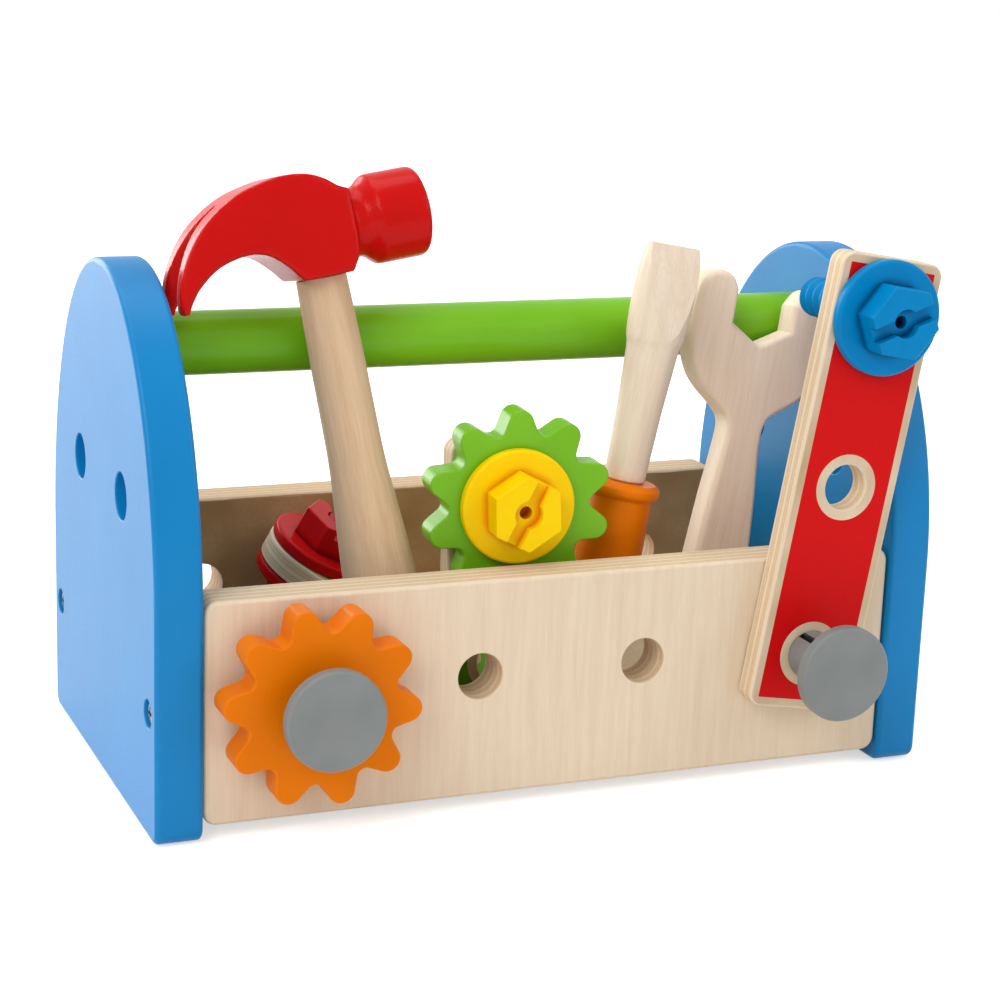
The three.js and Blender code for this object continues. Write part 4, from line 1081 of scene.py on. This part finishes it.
def driver_shaft():
    """Turned with a flare, then dressed to a flat blade by two hollow cuts."""
    start = DRIVER_GRIP + SEAM
    blade_top = start + SHAFT_LENGTH
    blade_bottom = blade_top - BLADE_LENGTH
    bottom = start - DRIVER_TENON_LENGTH + SEAM

    def blade(share):
        return blade_bottom + BLADE_LENGTH * share

    swell = ((0.85, -0.11), (0.935, 0.02), (0.98, 0.2), (1, 0.45), (0.985, 0.72), (0.94, 0.86))
    flare = spline([(SHAFT_RADIUS * 1.1, blade(-0.75)), (SHAFT_RADIUS * 1.2, blade(-0.37))]
                   + [(FLARE_RADIUS * wide, blade(share)) for wide, share in swell]
                   + [(TIP_HALF_WIDTH, blade_top)], 6)
    body = turned([(0, bottom), (DRIVER_TENON_RADIUS, bottom), (DRIVER_TENON_RADIUS, start),
                   (SHAFT_RADIUS - 0.4, start), (SHAFT_RADIUS, start + 0.4)] + flare + [(0, blade_top)])

    wide, thin = FLARE_RADIUS * 0.94, TIP_THICKNESS / 2
    shares = [step / BLADE_STEPS for step in range(BLADE_STEPS + 1)]
    hollow = [(wide - (wide - thin) * share ** 1.5, blade(share)) for share in shares]
    low, shoulder = bottom - OVERRUN, blade_bottom - OVERRUN
    outline = ([(-BLANK_HALF, low), (BLANK_HALF, low), (BLANK_HALF, shoulder)] + hollow
               + [(-x, y) for x, y in reversed(hollow)] + [(-BLANK_HALF, shoulder)])
    keep = plate(outline, BLANK_THICK, SHARP_EDGE, steps=1)
    moved(keep, Matrix.Rotation(math.pi / 2, 4, "Z") @ Matrix.Rotation(math.pi / 2, 4, "X")
          @ Matrix.Translation((0, 0, -BLANK_THICK / 2)))
    return soften(combine(body, [keep], "INTERSECT"), BLADE_SOFTENING, 30)


settle(driver_handle(), "screwdriver_handle_turned", "screwdriver", ["screwdriver_handle"],
       [handle_orange_painted_lit], grain_up=True)
settle(driver_shaft(), "screwdriver_shaft_dressed", "screwdriver", ["screwdriver_shaft"], [maple],
       grain_up=True, sharp=35)


# Wrench
def wrench():
    """Cut from board: a round foot, a long taper to the neck, and a head with an open jaw whose floor is part of
    a hexagon."""
    def head(half_width, points):
        return [(half_width * across, WRENCH_LENGTH + WRENCH_LEFT * up) for across, up in points]

    foot = arc(0, WRENCH_FOOT, WRENCH_FOOT, 185.4, 354.6, 24)
    neck = [(WRENCH_NECK * wide, WRENCH_LENGTH * height)
            for wide, height in ((1.39, 0.5), (1.13, 0.64), (1, 0.73))]
    right = head(WRENCH_RIGHT, (
        (0.34, -1.02), (0.46, -0.93), (0.72, -0.77), (0.88, -0.62), (0.98, -0.3), (1, 0), (0.95, 0.36),
        (0.84, 0.58), (0.7, 0.68), (0.56, 0.62)))
    left = head(-WRENCH_LEFT, (
        (0.46, 0.6), (0.52, 0.685), (0.62, 0.735), (0.73, 0.745), (0.83, 0.714), (0.91, 0.645), (0.965, 0.54),
        (1, 0.33), (1, -0.04), (0.965, -0.27), (0.9, -0.45), (0.8, -0.62), (0.66, -0.76), (0.5, -0.88),
        (0.37, -0.985), (0.285, -1.08)))
    throat, half_jaw = WRENCH_LENGTH + JAW_WIDTH * 0.15, JAW_WIDTH / 2
    drop = half_jaw * math.tan(math.pi / 6)
    jaw = [(half_jaw * across - JAW_SHIFT, throat - drop * down)
           for across, down in ((1, 0), (0.2, 0.8), (0, 0.92), (-0.2, 0.8), (-1, 0))]
    up_right = spline([foot[-1]] + neck + right + [(half_jaw - JAW_SHIFT, throat + JAW_DEPTH * 0.35)], 6)
    down_left = spline([(-half_jaw - JAW_SHIFT, throat + JAW_DEPTH * 0.45)] + left
                       + [(-x, y) for x, y in reversed(neck)] + [foot[0]], 6)
    board = plate(foot[:-1] + up_right + jaw + down_left[:-1], WRENCH_THICKNESS, WRENCH_EDGE)
    return moved(board, Matrix.Translation((0, 0, -WRENCH_THICKNESS / 2)))


settle(wrench(), "wrench_board", "wrench", ["wrench"], [wrench_wood_painted_lit])


# Camera, floor and light: the camera in millimetres and degrees, the lamps in metres and watts
CAMERA_AT = (-264.01, -621.87, 246.30)
CAMERA_AZIMUTH, CAMERA_ELEVATION, CAMERA_ROLL = -22.919, 14.007, 2.040
LENS_MM, SENSOR_MM = 82.88, 36
CLIP_START = 0.01
LAMPS_AIM = (0, 0.01, 0.08)
LAMPS = (("key", (-1.1, -0.85, 1.1), 0.9, 11), ("fill", (1.0, -0.95, 0.75), 0.9, 4),
         ("top", (-0.2, 0.25, 1.35), 1.0, 7.5), ("rim", (-0.8, 1.6, 0.5), 1.2, 20))
SKY_LIGHT = 0.5
FLOOR_HALF = 6.0
FLOOR_DROP = 0.4
FLOOR_LIFT = 0.57

azimuth, elevation, roll = (math.radians(v) for v in (CAMERA_AZIMUTH, CAMERA_ELEVATION, CAMERA_ROLL))
forward = Vector((-math.sin(azimuth) * math.cos(elevation), math.cos(azimuth) * math.cos(elevation),
                  -math.sin(elevation)))
level_right = forward.cross(Vector(UP)).normalized()
level_up = level_right.cross(forward)
view_right = level_right * math.cos(roll) + level_up * math.sin(roll)
view_up = level_up * math.cos(roll) - level_right * math.sin(roll)
camera = bpy.data.objects.new("camera", bpy.data.cameras.new("camera"))
bpy.context.scene.collection.objects.link(camera)
camera.matrix_world = (Matrix.Translation(Vector(CAMERA_AT) * MM)
                       @ Matrix((view_right, view_up, -forward)).transposed().to_4x4())
camera.data.sensor_width = SENSOR_MM
camera.data.sensor_fit = "AUTO"
camera.data.lens = LENS_MM
camera.data.clip_start = CLIP_START
bpy.context.scene.camera = camera

for name, at, size, power in LAMPS:
    light = bpy.data.lights.new(name, "AREA")
    light.size = size
    light.energy = power
    lamp = bpy.data.objects.new(name, light)
    bpy.context.scene.collection.objects.link(lamp)
    aim = (Vector(LAMPS_AIM) - Vector(at)).to_track_quat("-Z", "Y")
    lamp.matrix_world = Matrix.Translation(at) @ aim.to_matrix().to_4x4()


def seen_white(tree):
    """1 for the rays that show the surroundings: those of the camera, of gloss and of glass."""
    ray = add(tree, "ShaderNodeLightPath").outputs
    return formula(tree, [("direct", "MAXIMUM", "camera", "gloss"), ("seen", "MAXIMUM", "direct", "glass")],
                   camera=ray["Is Camera Ray"], gloss=ray["Is Glossy Ray"],
                   glass=ray["Is Transmission Ray"])["seen"]


bpy.context.scene.world = bpy.data.worlds.new("studio")
sky = emptied(bpy.context.scene.world)
sky_strength = add(sky, "ShaderNodeMapRange", {"Value": seen_white(sky), "To Min": SKY_LIGHT, "To Max": 1.0})
backdrop = add(sky, "ShaderNodeBackground", {"Color": colour("#ffffff"), "Strength": sky_strength})
add(sky, "ShaderNodeOutputWorld", {"Surface": backdrop})

floor_corners = [(x * FLOOR_HALF, y * FLOOR_HALF, 0) for x, y in ((-1, -1), (1, -1), (1, 1), (-1, 1))]
floor = shape(floor_corners, [(0, 1, 2, 3)])
floor.name = floor.data.name = "floor"
floor.location.z = -FLOOR_DROP * MM
white_floor = bpy.data.materials.new("matt_white_floor")
floor_tree = emptied(white_floor)
lift = formula(floor_tree, [("lift", "MULTIPLY", "seen", FLOOR_LIFT)], seen=seen_white(floor_tree))["lift"]
lit = add(floor_tree, "ShaderNodeBsdfDiffuse", {"Color": colour("#f6f6f6")})
glow = add(floor_tree, "ShaderNodeEmission", {"Color": colour("#ffffff"), "Strength": lift})
add(floor_tree, "ShaderNodeOutputMaterial", {
    "Surface": add(floor_tree, "ShaderNodeAddShader", {0: lit, 1: glow})})
floor.data.materials.append(white_floor)

bpy.context.scene.view_settings.view_transform = "Standard"
